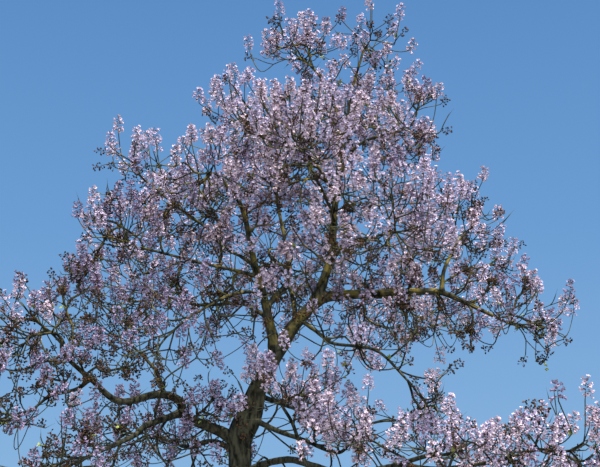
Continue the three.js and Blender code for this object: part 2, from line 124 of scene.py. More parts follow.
LIMBS = [
    limb("trunk", None, 0, (0.54, 0.27),
         (3.2, 180, 89), (1.4, 0, 85), (0.5, 0, 90), (0.45, 0, 70), (0.4, 0, 72), (0.4, 10, 69),
         (0.5, 10, 60)),
    limb("right_bough", "trunk", TIP, (0.27, 0.05),
         (0.56, 5, 56), (0.55, 0, 45), (0.4, -5, 10), (0.5, -10, 0), (1, -10, 0), (0.4, -15, -15),
         (0.75, -20, -30), (0.3, 5, -25)),
    limb("leader", "right_bough", 1.01, (0.175, 0.048),
         (0.45, 0, 70), (0.5, 0, 75), (0.75, 0, 85), (1.1, 0, 85), (1, -155, 85), (0.55, -165, 65),
         (0.35, -165, 50)),
    limb("left_stem", "trunk", 6.75, (0.19, 0.058),
         (0.445, -148, 72), (0.65, -130, 70), (0.5, -130, 65), (0.4, -115, 65), (0.65, -120, 60),
         (0.5, -145, 45)),
    limb("left_bough", "trunk", 5.05, (0.205, 0.055),
         (0.45, -145, 20), (0.65, -145, 15), (0.3, -130, 55), (0.4, -155, 10), (0.65, -155, -15),
         (0.6, -145, 30), (0.6, -145, 35), (0.25, -110, 65)),
    limb("middle_stem", "left_stem", 0.79, (0.11, 0.056),
         (0.6, 60, 40), (0.6, 65, 45), (0.65, 100, 60), (1.05, 120, 70)),
    limb("right_bottom_bough", "trunk", 4.5, (0.135, 0.066),
         (0.7, -45, 10), (0.55, -45, 0), (0.65, -55, -15), (0.8, -50, -15), (1, -55, 0), (0.8, -50, 5)),
    limb("left_low_bough", "left_bough", 1.2, (0.13, 0.056),
         (1.05, -120, -20), (0.5, -115, -30), (1, -130, -25)),
    limb("left_hanging_bough", "left_bough", 3.1, (0.07, 0.042),
         (0.3, -145, -40), (0.55, -130, -20), (0.4, -140, -40)),
    limb("left_rising_bough", "left_bough", 1.7, (0.08, 0.046),
         (0.4, 160, 70), (0.55, 145, 45)),
    limb("left_back_bough", "trunk", 4.8, (0.11, 0.05),
         (0.55, 140, 30), (0.6, 120, 10), (0.75, 115, 0), (1.35, 120, 15)),
    limb("right_low_bough", "trunk", 5.5, (0.105, 0.052),
         (0.7, -40, -25), (0.7, -45, -20), (0.85, -50, -20), (0.4, -50, 25)),
    limb("right_corner_bough", "right_bottom_bough", 3.9, (0.08, 0.045),
         (0.85, -50, -10), (0.9, -45, 0), (0.7, -30, 10)),
    limb("front_riser", "right_bottom_bough", 1.6, (0.085, 0.045),
         (0.25, -100, 45), (0.45, -120, 55), (0.35, -140, 50)),
    limb("left_long_bough", "left_stem", 0.99, (0.075, 0.042),
         (0.5, -120, -5), (0.65, -125, -20), (1.05, -125, -30)),
    limb("left_shoulder_bough", "left_stem", 1.54, (0.072, 0.042),
         (0.4, 140, 35), (0.45, 140, 35), (0.65, 160, 70)),
    limb("left_middle_bough", "left_stem", 1.34, (0.072, 0.042),
         (0.4, -160, 10), (0.65, -170, 10), (0.6, 180, 15), (0.45, 180, 15)),
    limb("far_left_bough", "left_shoulder_bough", 1, (0.058, 0.038),
         (0.45, -155, 30), (0.55, -155, 30), (0.45, -165, 35)),
    limb("back_left_bough", "left_stem", 0.59, (0.09, 0.048),
         (1.3, 115, 25), (1.3, 135, 10), (1.05, 145, 20)),
    limb("right_leader", "leader", 2.5, (0.08, 0.042),
         (0.75, 50, 75), (0.95, 35, 80), (0.9, 10, 75)),
    limb("upper_right_bough", "leader", 2.3, (0.08, 0.042),
         (0.5, -30, 65), (0.45, -15, 40), (0.8, -15, 10)),
    limb("upper_left_bough", "leader", 2, (0.08, 0.045),
         (0.65, -165, 60), (0.55, -150, 35), (0.5, -155, 25)),
    limb("top_back_bough", "leader", 3.05, (0.065, 0.042),
         (0.55, 85, 40), (0.55, 75, 45)),
    limb("front_high_bough", "leader", 1.55, (0.075, 0.042),
         (0.75, -100, 10), (1, -110, 20)),
    limb("right_middle_bough", "leader", 0.8, (0.072, 0.042),
         (0.6, -60, 15), (0.6, -55, -5), (0.6, -60, -5)),
    limb("right_rising_bough", "right_bough", 3.26, (0.085, 0.046),
         (0.4, 35, 80), (0.35, 40, 60), (0.35, 40, 60)),
    limb("right_drooping_bough", "right_bough", 0.61, (0.075, 0.04),
         (0.6, -50, -35), (0.55, -60, -30), (0.55, -50, -15), (0.6, -45, -20), (0.95, -55, -40)),
    limb("back_high_bough", "right_bough", 0.51, (0.1, 0.05),
         (1.2, 95, 40), (1.2, 105, 40), (1.05, 105, 30)),
    limb("back_right_bough", "right_bough", 1.71, (0.09, 0.048),
         (0.9, 80, 15), (0.95, 60, 10), (0.7, 65, 15)),
    limb("back_low_bough", "trunk", 5.9, (0.095, 0.048),
         (1.1, 50, -5), (1.2, 42, -8), (1, 40, 12)),
]
print("limbs:", len(LIMBS), "rows,", sum(len(row.legs) for row in LIMBS), "legs")

# %% [markdown]
# Small helpers for vectors come first. A point is a row of three numbers, so one call moves a whole list.

# %% Vectors
UP = np.array([0.0, 0.0, 1.0])
SIDEWAYS = np.array([1.0, 0.0, 0.0])
TOO_CLOSE = 0.9  # cosine from which two directions are too close to cross with each other


def unit(vectors):
    return vectors / np.sqrt((vectors * vectors).sum(-1, keepdims=True))


def lengths_of(vectors):
    return np.sqrt((vectors * vectors).sum(-1))


def leg_vector(leg):
    length, heading, rise = leg
    turn, lift = math.radians(heading), math.radians(rise)
    level = math.cos(lift)
    return length * np.array([level * math.cos(turn), level * math.sin(turn), math.sin(lift)])


def axes_along(points, first_axis=None):
    """The direction of a path at each of its points."""
    ahead = np.vstack([points[1:], points[-1:]])
    behind = np.vstack([points[:1], points[:-1]])
    axes = unit(ahead - behind)
    if first_axis is not None:
        axes[0] = first_axis
    return axes


print("a leg of 1 m at 45 degrees:", leg_vector((1, 0, 45)).round(3))

# %% [markdown]
# A limb's legs give joints, and a smooth curve runs through them. It is the uniform Catmull-Rom curve,
# where each joint's tangent is half the way between its neighbours. Distances along it are
# read from a table of short steps, because the curve itself has no simple length.

# %% Smooth paths
ARC_STEPS = 200


def spline(joints, share):
    """Points on the curve through the joints, at shares from 0 to 1."""
    padded = np.vstack([2 * joints[0] - joints[1], joints, 2 * joints[-1] - joints[-2]])
    spans = len(joints) - 1
    place = np.clip(share, 0, 1) * spans
    span = np.minimum(place.astype(int), spans - 1)
    t = (place - span)[:, None]
    before, start, end, after = (padded[span + k] for k in range(4))
    leave, arrive = (end - before) / 2, (after - start) / 2
    cubic = 2 * start - 2 * end + leave + arrive
    square = 3 * end - 3 * start - 2 * leave - arrive
    return ((cubic * t + square) * t + leave) * t + start


def path_through(joints):
    shares = np.linspace(0, 1, ARC_STEPS + 1)
    steps = lengths_of(np.diff(spline(joints, shares), axis=0))
    distances = np.concatenate([[0], np.cumsum(steps)])
    return SimpleNamespace(joints=joints, shares=shares, distances=distances, length=distances[-1])


def points_at(path, distances):
    return spline(path.joints, np.interp(distances, path.distances, path.shares))


# %% [markdown]
# The trunk and boughs follow the source: the same paths, the same taper, the same swelling where a bough
# leaves its parent, and the same flared foot. Their coarse rings are kept too, because the twigs
# use them as the things to keep clear of.

# %% Grow the limbs
GAP = 0.0003  # air between two pieces of wood that meet
RING_SPACING = 0.42
FLARE_RINGS = (0, 0.09, 0.22, 0.42, 0.75, 1.3, 2.2)
TAPER = 0.85  # below 1 a limb thins soonest near its foot
FLARE = 0.7
FLARE_HEIGHT = 0.3
FLARE_LOBES = 5
FLARE_LOBE_DEPTH = 0.16
COLLAR = 0.3
COLLAR_REACH = 1.1  # in widths of the bough
BULGE = 0.42  # the trunk swells above its first fork, as a share of its radius
BULGE_AT = 5.35  # along the trunk
BULGE_REACH = 0.55


def radius_along(row, distances, length):
    taper = row.foot + (row.tip - row.foot) * (distances / length) ** TAPER
    if row.parent is None:
        return taper * (1 + BULGE * np.exp(-(((distances - BULGE_AT) / BULGE_REACH) ** 2)))
    if row.along == TIP:
        return taper
    return taper * (1 + COLLAR * np.exp(-distances / (2 * row.foot * COLLAR_REACH)))


def flare(heights, angles):
    lobes = 1 + FLARE_LOBE_DEPTH * np.cos(FLARE_LOBES * angles)
    return 1 + FLARE * np.exp(-heights / FLARE_HEIGHT) * lobes


def coarse_distances(row, length):
    even = np.linspace(0, length, round(length / RING_SPACING) + 1)
    if row.parent is not None:
        return even
    return np.concatenate([FLARE_RINGS, even[even > FLARE_RINGS[-1] + RING_SPACING / 2]])


def grow_limb(row, grown):
    parent = grown.get(row.parent)
    start, first_axis = np.zeros(3), UP
    if parent:
        start = points_at(parent.path, np.array([min(row.along, parent.path.length)]))[0]
        first_axis = parent.tip_axis if row.along == TIP else None
        if row.along == TIP:
            start = start + parent.tip_axis * GAP
    joints = np.vstack([start, start + np.cumsum([leg_vector(leg) for leg in row.legs], axis=0)])
    path = path_through(joints)
    distances = coarse_distances(row, path.length)
    rings = points_at(path, distances)
    radii = radius_along(row, distances, path.length)
    axes = axes_along(rings, first_axis)
    return SimpleNamespace(
        row=row, path=path, rings=rings, radii=radii, first_axis=first_axis,
        tip=rings[-1], tip_axis=axes[-1], tip_radius=radii[-1],
    )


grown = {}
for row in LIMBS:
    grown[row.name] = grow_limb(row, grown)
print("limbs:", round(sum(one.path.length for one in grown.values()), 1), "m in all")

# %% [markdown]
# Everything thin here is a tube: rings of corners round a path, turned as little as possible from one
# ring to the next, and closed at both ends. All meshes are plain arrays of corners and triangles,
# joined kind by kind, so that a million faces cost only a few Blender objects.

# %% Tubes and joined meshes
@functools.lru_cache(maxsize=None)
def tube_faces(rings, sides):
    side = np.arange(sides)
    after = (side + 1) % sides
    near = np.arange(rings - 1)[:, None] * sides
    a, b = near + side, near + after
    c, d = a + sides, b + sides
    walls = np.stack([np.stack([a, b, c], -1), np.stack([b, d, c], -1)], 2).reshape(-1, 3)
    fan = side[1:-1]
    foot = np.stack([0 * fan, fan + 1, fan], -1)
    last = (rings - 1) * sides
    top = np.stack([0 * fan + last, fan + last, fan + 1 + last], -1)
    return np.vstack([walls, foot, top])


def tube(points, radii, sides, first_axis=None):
    """Corners and triangles of a closed tube. radii holds one value a ring, or one a corner."""
    axes = axes_along(points, first_axis)
    across = SIDEWAYS if abs(axes[0][0]) < TOO_CLOSE else np.array([0, 1.0, 0])
    first = []
    for axis in axes:
        across = unit(across - axis * (across @ axis))
        first.append(across)
    first = np.array(first)
    other = np.cross(axes, first)
    angles = np.arange(sides) * (2 * math.pi / sides)
    spokes = first[:, None] * np.cos(angles)[:, None] + other[:, None] * np.sin(angles)[:, None]
    wide = np.reshape(radii, (len(points), -1, 1))
    return (points[:, None] + spokes * wide).reshape(-1, 3), tube_faces(len(points), sides)


def joined(parts):
    """One mesh from many: its corners, and its triangles counted on."""
    counts = np.cumsum([0] + [len(points) for points, _ in parts[:-1]])
    corners = np.vstack([points for points, _ in parts])
    return corners, np.vstack([faces + count for (_, faces), count in zip(parts, counts)])


def new_piece(name, shape, smooth):
    points, faces = shape
    mesh = bpy.data.meshes.new(name)
    mesh.vertices.add(len(points))
    mesh.vertices.foreach_set("co", points.astype(np.float32).ravel())
    mesh.loops.add(faces.size)
    mesh.loops.foreach_set("vertex_index", faces.astype(np.int32).ravel())
    mesh.polygons.add(len(faces))
    mesh.polygons.foreach_set("loop_start", np.arange(0, faces.size, 3, dtype=np.int32))
    mesh.polygons.foreach_set("use_smooth", np.full(len(faces), smooth))
    mesh.update(calc_edges=True)
    piece = bpy.data.objects.new(name, mesh)
    bpy.context.scene.collection.objects.link(piece)
    return piece


print("a tube of 3 rings and 5 sides has", len(tube_faces(3, 5)), "triangles")

# %% [markdown]
# Paulownia bark is grey-brown and fairly smooth, with shallow furrows that run along the limb and wander.
# An image would need flat pieces of bark to lie on, and a pure bump would leave the edge of the trunk
# straight. So the relief is real: each corner moves out or in by noise on a grid that is wrapped round the
# limb, with cells much longer than wide. Slow swellings make the limbs less like pipes.

# %% Bark relief
FURROW_WIDTH = 0.04
FURROW_LENGTH = 0.26
FURROW_DEPTH = 0.01
LEAST_FURROWS = 5
WANDERS_ROUND = 4  # how many times round the limb the furrows' wander changes
WANDER_WIDTH = 0.8  # in furrows
SWELLS_ROUND = 3
SWELL_LENGTH = 0.5
SWELL_DEPTH = 0.07  # as a share of the radius
DEEPEST = 0.12  # a furrow's depth is at most this share of the radius


def wrapped_noise(around, along, cells, random):
    """Smooth noise from -1 to 1, on cells round the limb that close on themselves."""
    grid = random.uniform(-1, 1, (int(along.max()) + 2, cells))
    column, row = np.floor(around).astype(int), np.floor(along).astype(int)
    x, y = around - column, along - row
    x, y = x * x * (3 - 2 * x), y * y * (3 - 2 * y)
    left, right = column % cells, (column + 1) % cells
    low = grid[row, left] * (1 - x) + grid[row, right] * x
    high = grid[row + 1, left] * (1 - x) + grid[row + 1, right] * x
    return low * (1 - y) + high * y


def relief(distances, angles, radii, random):
    """How far each corner of a limb stands out, in metres."""
    turn = angles[None] / (2 * math.pi)
    shape = (len(distances), len(angles))
    along = np.broadcast_to(distances[:, None], shape)
    round_it = np.broadcast_to(turn, shape)
    swell = wrapped_noise(round_it * SWELLS_ROUND, along / SWELL_LENGTH, SWELLS_ROUND, random)
    cells = max(LEAST_FURROWS, round(2 * math.pi * radii[0] / FURROW_WIDTH))
    wander = wrapped_noise(round_it * WANDERS_ROUND, along / FURROW_LENGTH, WANDERS_ROUND, random)
    # One whole cell is added, so that the wander never makes the place negative.
    around = turn * cells + wander * WANDER_WIDTH + 1
    furrow = wrapped_noise(around, along / FURROW_LENGTH, cells, random)
    depth = np.minimum(FURROW_DEPTH, DEEPEST * radii)[:, None]
    # Ridges stand along the lines where the noise is zero, and the furrows lie between them.
    return swell * SWELL_DEPTH * radii[:, None] + (0.5 - 2 * np.abs(furrow)) * depth


print("furrows round the trunk's foot:", round(2 * math.pi * LIMBS[0].foot / FURROW_WIDTH))

# %% [markdown]
# Where a bough leaves its parent the real wood flows from one into the other. A plain tube would
# meet the parent in a sharp ring, so each bough widens like a trumpet just before it sinks in. Thick
# limbs get more sides than thin ones, so that triangles are about the same size everywhere.

# %% Fine limbs
SIDE_WIDTH = 0.02
FEWEST_SIDES = 12
MOST_SIDES = 64
RINGS_APART = 2.2  # a ring's spacing in widths of a side
TRUMPET = 0.2
TRUMPET_REACH = 0.9  # in radii of the bough's foot
# Where a limb goes on from another's tip, each reaches this far into the other, ever narrower.
SEAM_STEPS = np.array([0.06, 0.12, 0.18])
SEAM_WIDTHS = np.array([0.96, 0.84, 0.6])
CARRIED_ON = [row.parent for row in LIMBS if row.along == TIP]
RELIEF_SEED = 5


def carried_on(points, wide, way):
    """A tube's rings and three more past the last one, ever narrower, which end inside the other limb."""
    more = points[-1] + SEAM_STEPS[:, None] * way
    return np.vstack([points, more]), np.vstack([wide, wide[-1:] * SEAM_WIDTHS[:, None]])


def fine_limb(one, number):
    row, path = one.row, one.path
    sides = int(np.clip(2 * math.pi * row.foot / SIDE_WIDTH, FEWEST_SIDES, MOST_SIDES))
    spacing = RINGS_APART * 2 * math.pi * row.foot / sides
    distances = np.linspace(0, path.length, round(path.length / spacing) + 1)
    radii = radius_along(row, distances, path.length)
    points = points_at(path, distances)
    angles = np.arange(sides) * (2 * math.pi / sides)
    wide = radii[:, None] + relief(distances, angles, radii, np.random.RandomState(RELIEF_SEED + number))
    if row.parent is None:
        wide = wide * flare(distances[:, None], angles[None])
        points[:, 2] = np.maximum(points[:, 2], 0)
    elif row.along == TIP:
        points, wide = carried_on(points[::-1], wide[::-1], -one.first_axis)
        points, wide = points[::-1], wide[::-1]
    else:
        parent = grown[row.parent]
        buried = np.interp(row.along, np.linspace(0, parent.path.length, len(parent.radii)), parent.radii)
        clear = np.maximum(distances - buried, 0)
        wide = wide * (1 + TRUMPET * np.exp(-clear / (TRUMPET_REACH * row.foot)))[:, None]
    if row.name in CARRIED_ON:
        points, wide = carried_on(points, wide, one.tip_axis)
    return tube(points, wide, sides, one.first_axis)


print("the trunk's tube has", len(fine_limb(grown["trunk"], 0)[1]), "triangles")

# %% [markdown]
# The limbs still run into each other. One Boolean union turns the thirty closed tubes into a single
# closed surface, with nothing left inside. The modifier takes a whole collection at once, and its result
# is read back as a plain mesh, so nothing waits to be worked out at render time.

# %% Bark mesh
def united(name, shapes):
    """The union of closed meshes, as one object."""
    pieces = [new_piece(f"{name}_{number}", shape, True) for number, shape in enumerate(shapes)]
    others = bpy.data.collections.new(name + "_parts")
    for piece in pieces[1:]:
        others.objects.link(piece)
    union = pieces[0].modifiers.new("union", "BOOLEAN")
    union.operation, union.operand_type = "UNION", "COLLECTION"
    union.collection, union.solver = others, "MANIFOLD"
    bpy.context.view_layer.update()
    graph = bpy.context.evaluated_depsgraph_get()
    mesh = bpy.data.meshes.new_from_object(pieces[0].evaluated_get(graph))
    for piece in pieces:
        bpy.data.objects.remove(piece)
    bpy.data.collections.remove(others)
    mesh.name = name
    mesh.polygons.foreach_set("use_smooth", np.ones(len(mesh.polygons), dtype=bool))
    whole = bpy.data.objects.new(name, mesh)
    bpy.context.scene.collection.objects.link(whole)
    return whole


bark = united("bark", [fine_limb(one, number) for number, one in enumerate(grown.values())])
print("bark:", len(bark.data.polygons), "faces")

# %% [markdown]
# A mass of twigs sits on the tip of each bough. Its row gives the bough, the leg from the bough's tip to
# the middle of the mass, and its half sizes along X, Y and Z. Its space is that ellipsoid, cut by a flat
# border towards each neighbour. The last two numbers are looks: the lower left of the tree is thin and
# mostly brown, and its top and right side are in full flower.

# %% Mass rows
def mass(name, bough, leg, half_sizes, fill, bloom):
    """fill: how closely its fine ends stand. bloom: the share of them that are in flower."""
    size = np.array(half_sizes)
    return SimpleNamespace(name=name, bough=bough, leg=leg, size=size, fill=fill, bloom=bloom)


MASSES = [
    mass("left_far_mass", "left_bough", (0.5, -145, 20), (1.25, 1.3, 0.9), 0.8, 0.42),
    mass("left_hanging_mass", "left_hanging_bough", (0.85, -125, 0), (1.2, 1.2, 0.8), 0.68, 0.1),
    mass("left_rising_mass", "left_rising_bough", (0.9, 170, 50), (1.15, 1.15, 0.95), 0.6, 0.3),
    mass("left_low_mass", "left_low_bough", (0.8, -120, -10), (1.25, 1.2, 0.8), 0.45, 0.06),
    mass("left_back_mass", "left_back_bough", (1.1, 135, 15), (1.45, 1.35, 0.95), 0.6, 0.06),
    mass("right_low_mass", "right_low_bough", (0.4, -95, 30), (0.9, 1, 0.8), 0.3, 1),
    mass("right_bottom_mass", "right_bottom_bough", (0.5, -50, 10), (1.05, 1.15, 0.75), 0.5, 0.8),
    mass("right_corner_mass", "right_corner_bough", (0.5, -60, 15), (1.15, 1, 0.8), 0.65, 0.85),
    mass("front_mass", "front_riser", (0.45, -45, 25), (1.05, 0.9, 0.72), 0.85, 1),
    mass("left_stem_mass", "left_stem", (0.8, -115, 0), (1.2, 1.2, 0.95), 0.7, 0.95),
    mass("left_long_mass", "left_long_bough", (0.95, -130, -35), (1.05, 1.1, 0.9), 0.5, 0.2),
    mass("left_shoulder_mass", "left_shoulder_bough", (0.6, 125, 35), (1.15, 1.15, 1), 1.15, 0.85),
    mass("left_middle_mass", "left_middle_bough", (0.45, 180, 45), (1.1, 1.15, 0.95), 0.95, 0.6),
    mass("far_left_mass", "far_left_bough", (0.75, 180, 55), (0.85, 0.9, 0.8), 0.35, 0.75),
    mass("middle_mass", "middle_stem", (1.15, 80, 65), (1.25, 1.3, 1), 1.1, 1),
    mass("back_left_mass", "back_left_bough", (0.75, 125, 30), (1.45, 1.4, 1.1), 0.65, 0.42),
    mass("right_end_mass", "right_bough", (0.35, -20, 15), (1, 1.2, 0.85), 0.6, 0.6),
    mass("leader_mass", "leader", (0.5, 165, 60), (1, 1.05, 0.85), 0.45, 0.7),
    mass("right_leader_mass", "right_leader", (0.4, 25, 55), (0.85, 1, 0.85), 0.45, 0.8),
    mass("upper_right_mass", "upper_right_bough", (0.2, -140, 40), (0.95, 1.15, 0.95), 0.95, 0.85),
    mass("upper_left_mass", "upper_left_bough", (0.55, -155, 35), (1.05, 1.15, 0.9), 0.85, 0.9),
    mass("top_back_mass", "top_back_bough", (0.9, 85, 40), (1.15, 1.1, 0.95), 1, 0.9),
    mass("front_high_mass", "front_high_bough", (0.9, -110, 25), (1.3, 1.2, 1), 1.15, 0.95),
    mass("right_middle_mass", "right_middle_bough", (0.9, -95, 0), (1.4, 1.3, 1.1), 0.95, 0.85),
    mass("right_rising_mass", "right_rising_bough", (0.5, 105, 70), (1.15, 1.3, 1.05), 0.75, 0.7),
    mass("right_drooping_mass", "right_drooping_bough", (0.6, -70, -25), (0.9, 1, 0.72), 0.2, 0.7),
    mass("back_high_mass", "back_high_bough", (1.1, 60, 10), (1.45, 1.35, 1.1), 0.7, 0.5),
    mass("back_right_mass", "back_right_bough", (0.75, 50, 0), (1.45, 1.35, 1.05), 0.8, 0.55),
    mass("back_low_mass", "back_low_bough", (1.1, 50, 15), (1.3, 1.3, 0.9), 0.2, 0.7),
]
print("masses:", len(MASSES))

# %% [markdown]
# From its row each mass gets its place, its stem and its borders. A border lies between two middles, at
# a distance from each that goes with how far its ellipsoid reaches that way. So a large mass keeps more
# of the air than a small one.

# %% Spaces of the masses
FIRST_SEED = 11
STEM_BENDS = np.array([0.3, 0.65, 1])
HUB_DROP = 0.35  # the hub lies this share of a mass's height below its middle


def bezier(start, control, end, shares):
    shares = shares[:, None]
    return start * (1 - shares) ** 2 + 2 * control * (1 - shares) * shares + end * shares**2


def place_mass(one, number):
    """Seed, start, middle and stem. The stem leaves the bough in its direction and bends up to the hub."""
    bough = grown[one.bough]
    one.seed = FIRST_SEED + number
    one.start = bough.tip + bough.tip_axis * GAP
    one.start_axis, one.start_radius = bough.tip_axis, bough.tip_radius
    one.centre = bough.tip + leg_vector(one.leg)
    hub = one.centre - UP * (HUB_DROP * one.size[2])
    control = one.start + one.start_axis * (lengths_of(hub - one.start) / 2)
    one.stem = np.vstack([one.start, bezier(one.start, control, hub, STEM_BENDS)])


def border_towards(one, other):
    """The normal of the flat border with another mass, and its distance from the middle."""
    normal = unit(other.centre - one.centre)
    mine, theirs = (1 / lengths_of(normal / size) for size in (one.size, other.size))
    return normal, lengths_of(other.centre - one.centre) * mine / (mine + theirs)


for number, one in enumerate(MASSES):
    place_mass(one, number)
for one in MASSES:
    borders = [border_towards(one, other) for other in MASSES if other is not one]
    one.normals = np.array([normal for normal, _ in borders])
    one.limits = np.array([distance for _, distance in borders])
room = sum(8 * one.size.prod() for one in MASSES)
print("the masses' boxes hold", round(room), "cubic metres")

# %% [markdown]
# Twigs must stay inside their space and clear of the wood. Limbs and the stems of other masses
# are segments with a radius, and one formula gives the shortest distance between many pairs of segments.

# %% Keeping clear
PARALLEL = 1e-6
REACH = 2  # obstacles further off than this many sizes of the mass don't matter


def depth_in(one, points):
    """0 in the middle of a mass and 1 on its round outline."""
    return lengths_of((points - one.centre) / one.size)


def inside_borders(one, points, margins):
    across = (points - one.centre) @ one.normals.T
    return (across + np.reshape(margins, (-1, 1)) < one.limits).all(1)


def segment_distances(a, b, c, d):
    """Shortest distances: a row for each segment from a to b, a column for each from c to d."""
    u, v, w = (b - a)[:, None], (d - c)[None], a[:, None] - c[None]
    uu, vv, uv = (u * u).sum(-1), (v * v).sum(-1), (u * v).sum(-1)
    uw, vw = (u * w).sum(-1), (v * w).sum(-1)
    slope = uu * vv - uv * uv
    free = slope > PARALLEL * uu * vv
    s = np.where(free, (uv * vw - vv * uw) / np.where(free, slope, 1), 0).clip(0, 1)
    t = ((uv * s + vw) / vv).clip(0, 1)
    s = ((uv * t - uw) / uu).clip(0, 1)
    return lengths_of(w + s[..., None] * u - t[..., None] * v)


def obstacles_of(one):
    starts, ends, radii = [], [], []
    for other in grown.values():
        starts.append(other.rings[:-1])
        ends.append(other.rings[1:])
        radii.append(np.maximum(other.radii[:-1], other.radii[1:]))
    for other in MASSES:
        if other is not one:
            starts.append(other.stem[:-1])
            ends.append(other.stem[1:])
            radii.append(np.full(len(other.stem) - 1, other.start_radius))
    starts, ends, radii = np.vstack(starts), np.vstack(ends), np.concatenate(radii)
    nearest = np.minimum(lengths_of(starts - one.centre), lengths_of(ends - one.centre))
    near = nearest < REACH * one.size.max()
    return starts[near], ends[near], radii[near]


def misses_all(obstacles, a, b, margins):
    starts, ends, radii = obstacles
    return (segment_distances(a, b, starts, ends) > radii + np.reshape(margins, (-1, 1))).all(1)


print("the middle mass has", len(obstacles_of(MASSES[14])[2]), "obstacles near it")

# %% [markdown]
# The rule for twigs is the source's. Ends are drawn at random in the mass, the outermost are taken first,
# and an end is kept if it is far enough from the others, inside the space and clear of the wood. Then,
# from the stem outwards, each end is joined to the best node grown so far: near, forward and not far
# back along the twigs. The source runs this rule once, with large clusters far apart. Here it runs again
# on the same tree with real sizes, so the fine twigs grow out of the same coarse ones.

# %% Two scales of one rule
def kind(length, radius, waist, lowest, highest, cluster, spur):
    """A kind of cluster. waist: the share of its length where it is widest. lowest, highest: where in the
    mass its top may be, from -1 to 1. cluster, spur: shares of up and of outward in their directions."""
    return SimpleNamespace(
        length=length, radius=radius, waist=waist, lowest=lowest, highest=highest,
        cluster=cluster, spur=spur,
    )


BLOSSOM, CAPSULES, BARE = range(3)
# spur: its length. twig: the thinnest twig's radius. clear: the air that is kept round everything.
# inner: how near to the middle a top may be. outer: how far out the foot of a spur may be.
# step, most_steps: of a new twig's path. reach: how far from its node an end may be.
SOURCE = SimpleNamespace(
    kinds=(
        kind(0.6, 0.185, 0.34, -0.45, 1, (1, 0.25), (1, 0.7)),
        kind(0.34, 0.135, 0.5, -1, 0.45, (-0.2, 1), (0.3, 1)),
    ),
    capsule_share=0.24, spur=0.24, twig=0.012, clear=0.014, inner=0.5, outer=1.08,
    step=0.4, most_steps=2, reach=math.inf,
)
FINE = SimpleNamespace(
    kinds=(
        kind(0.27, 0.08, 0.3, -0.8, 1, (1, 0.3), (1, 0.8)),
        kind(0.2, 0.08, 0.5, -1, 0.8, (0.4, 1), (0.6, 1)),
        kind(0.16, 0.02, 0.5, -0.7, 1, (1, 1), (0.5, 1)),
    ),
    spur=0.12, twig=0.0085, clear=0.008, inner=0.25, outer=1.0, step=0.14, most_steps=9,
    reach=0.8,
)
for scale, name in ((SOURCE, "source"), (FINE, "fine")):
    print(name, "clusters are", [each.length for each in scale.kinds], "m long")

# %% [markdown]
# An end is more than a point. A short spur rises from its foot to the base of a cluster, and the cluster
# has a length, a direction and a widest place. All of it has to fit, so whole ends are drawn at random
# before any is kept. Testing them all at once with arrays is what makes thousands of tries cheap.

# %% Scattered ends
def seeded(seed):
    """Random numbers from 0 to 1, by the same sums as in the source."""
    state = seed
    whole = 0xFFFFFFFF
    while True:
        state = (state + 0x6D2B79F5) & whole
        t = (state ^ (state >> 15)) * (state | 1) & whole
        t ^= (t + ((t ^ (t >> 7)) * (t | 61) & whole)) & whole
        yield ((t ^ (t >> 14)) & whole) / (whole + 1)


def towards(outward, shares, lean):
    up, out = shares[:, :1], shares[:, 1:]
    return unit(outward * out + UP * up + lean)


def draw_tips(one, scale, u, kinds, lean):
    """An end for each random point u: its cluster's top, waist and base, and its spur's foot."""
    depth = lengths_of(u)

    def of_kind(name):
        return np.array([getattr(each, name) for each in scale.kinds], dtype=float)[kinds]

    kept = (depth <= 1) & (depth >= scale.inner)
    kept &= (u[:, 2] >= of_kind("lowest")) & (u[:, 2] <= of_kind("highest"))
    outward = u / depth[:, None]
    axis = towards(outward, of_kind("cluster"), lean)
    length = of_kind("length")[:, None]
    top = one.centre + u * one.size
    base = top - axis * length
    tips = SimpleNamespace(
        kinds=kinds, depth=depth, axis=axis, top=top, base=base,
        waist=base + axis * length * of_kind("waist")[:, None], radius=of_kind("radius"),
        foot=base - towards(outward, of_kind("spur"), 0) * scale.spur,
    )
    return SimpleNamespace(**{name: values[kept] for name, values in vars(tips).items()})


def tips_that_fit(one, scale, tips, obstacles):
    fits = inside_borders(one, tips.top, scale.clear)
    fits &= inside_borders(one, tips.waist, tips.radius + scale.clear)
    fits &= inside_borders(one, tips.foot, 2 * scale.clear)
    fits &= depth_in(one, tips.foot) < scale.outer
    fits &= misses_all(obstacles, tips.base, tips.top, tips.radius + scale.clear)
    return fits & misses_all(obstacles, tips.foot, tips.base, scale.twig + scale.clear)


def scatter(one, scale, tips, obstacles, spacings, taken):
    """The ends that are kept, from the outermost in, each its own spacing away from those before it."""
    fits = tips_that_fit(one, scale, tips, obstacles)
    tops, chosen = list(taken), []
    for number in np.argsort(-tips.depth, kind="stable"):
        if not fits[number]:
            continue
        top = tips.top[number]
        if tops and (lengths_of(np.array(tops) - top) < spacings[number]).any():
            continue
        tops.append(top)
        chosen.append(number)
    order = np.argsort(lengths_of(tips.foot[chosen] - one.start), kind="stable")
    return np.array(chosen, dtype=int)[order]


first = seeded(FIRST_SEED)
print("the first random numbers:", [round(next(first), 4) for _ in range(3)])

# %% [markdown]
# A mass's twigs are a tree of nodes. Each knows its parent, its direction and how far it is back
# along the twigs to the bough. Arrays with room to spare let the search for the best node run
# over all of them at once.

# %% The tree of nodes
ROOM = 12000
RELAX_TIMES = 4


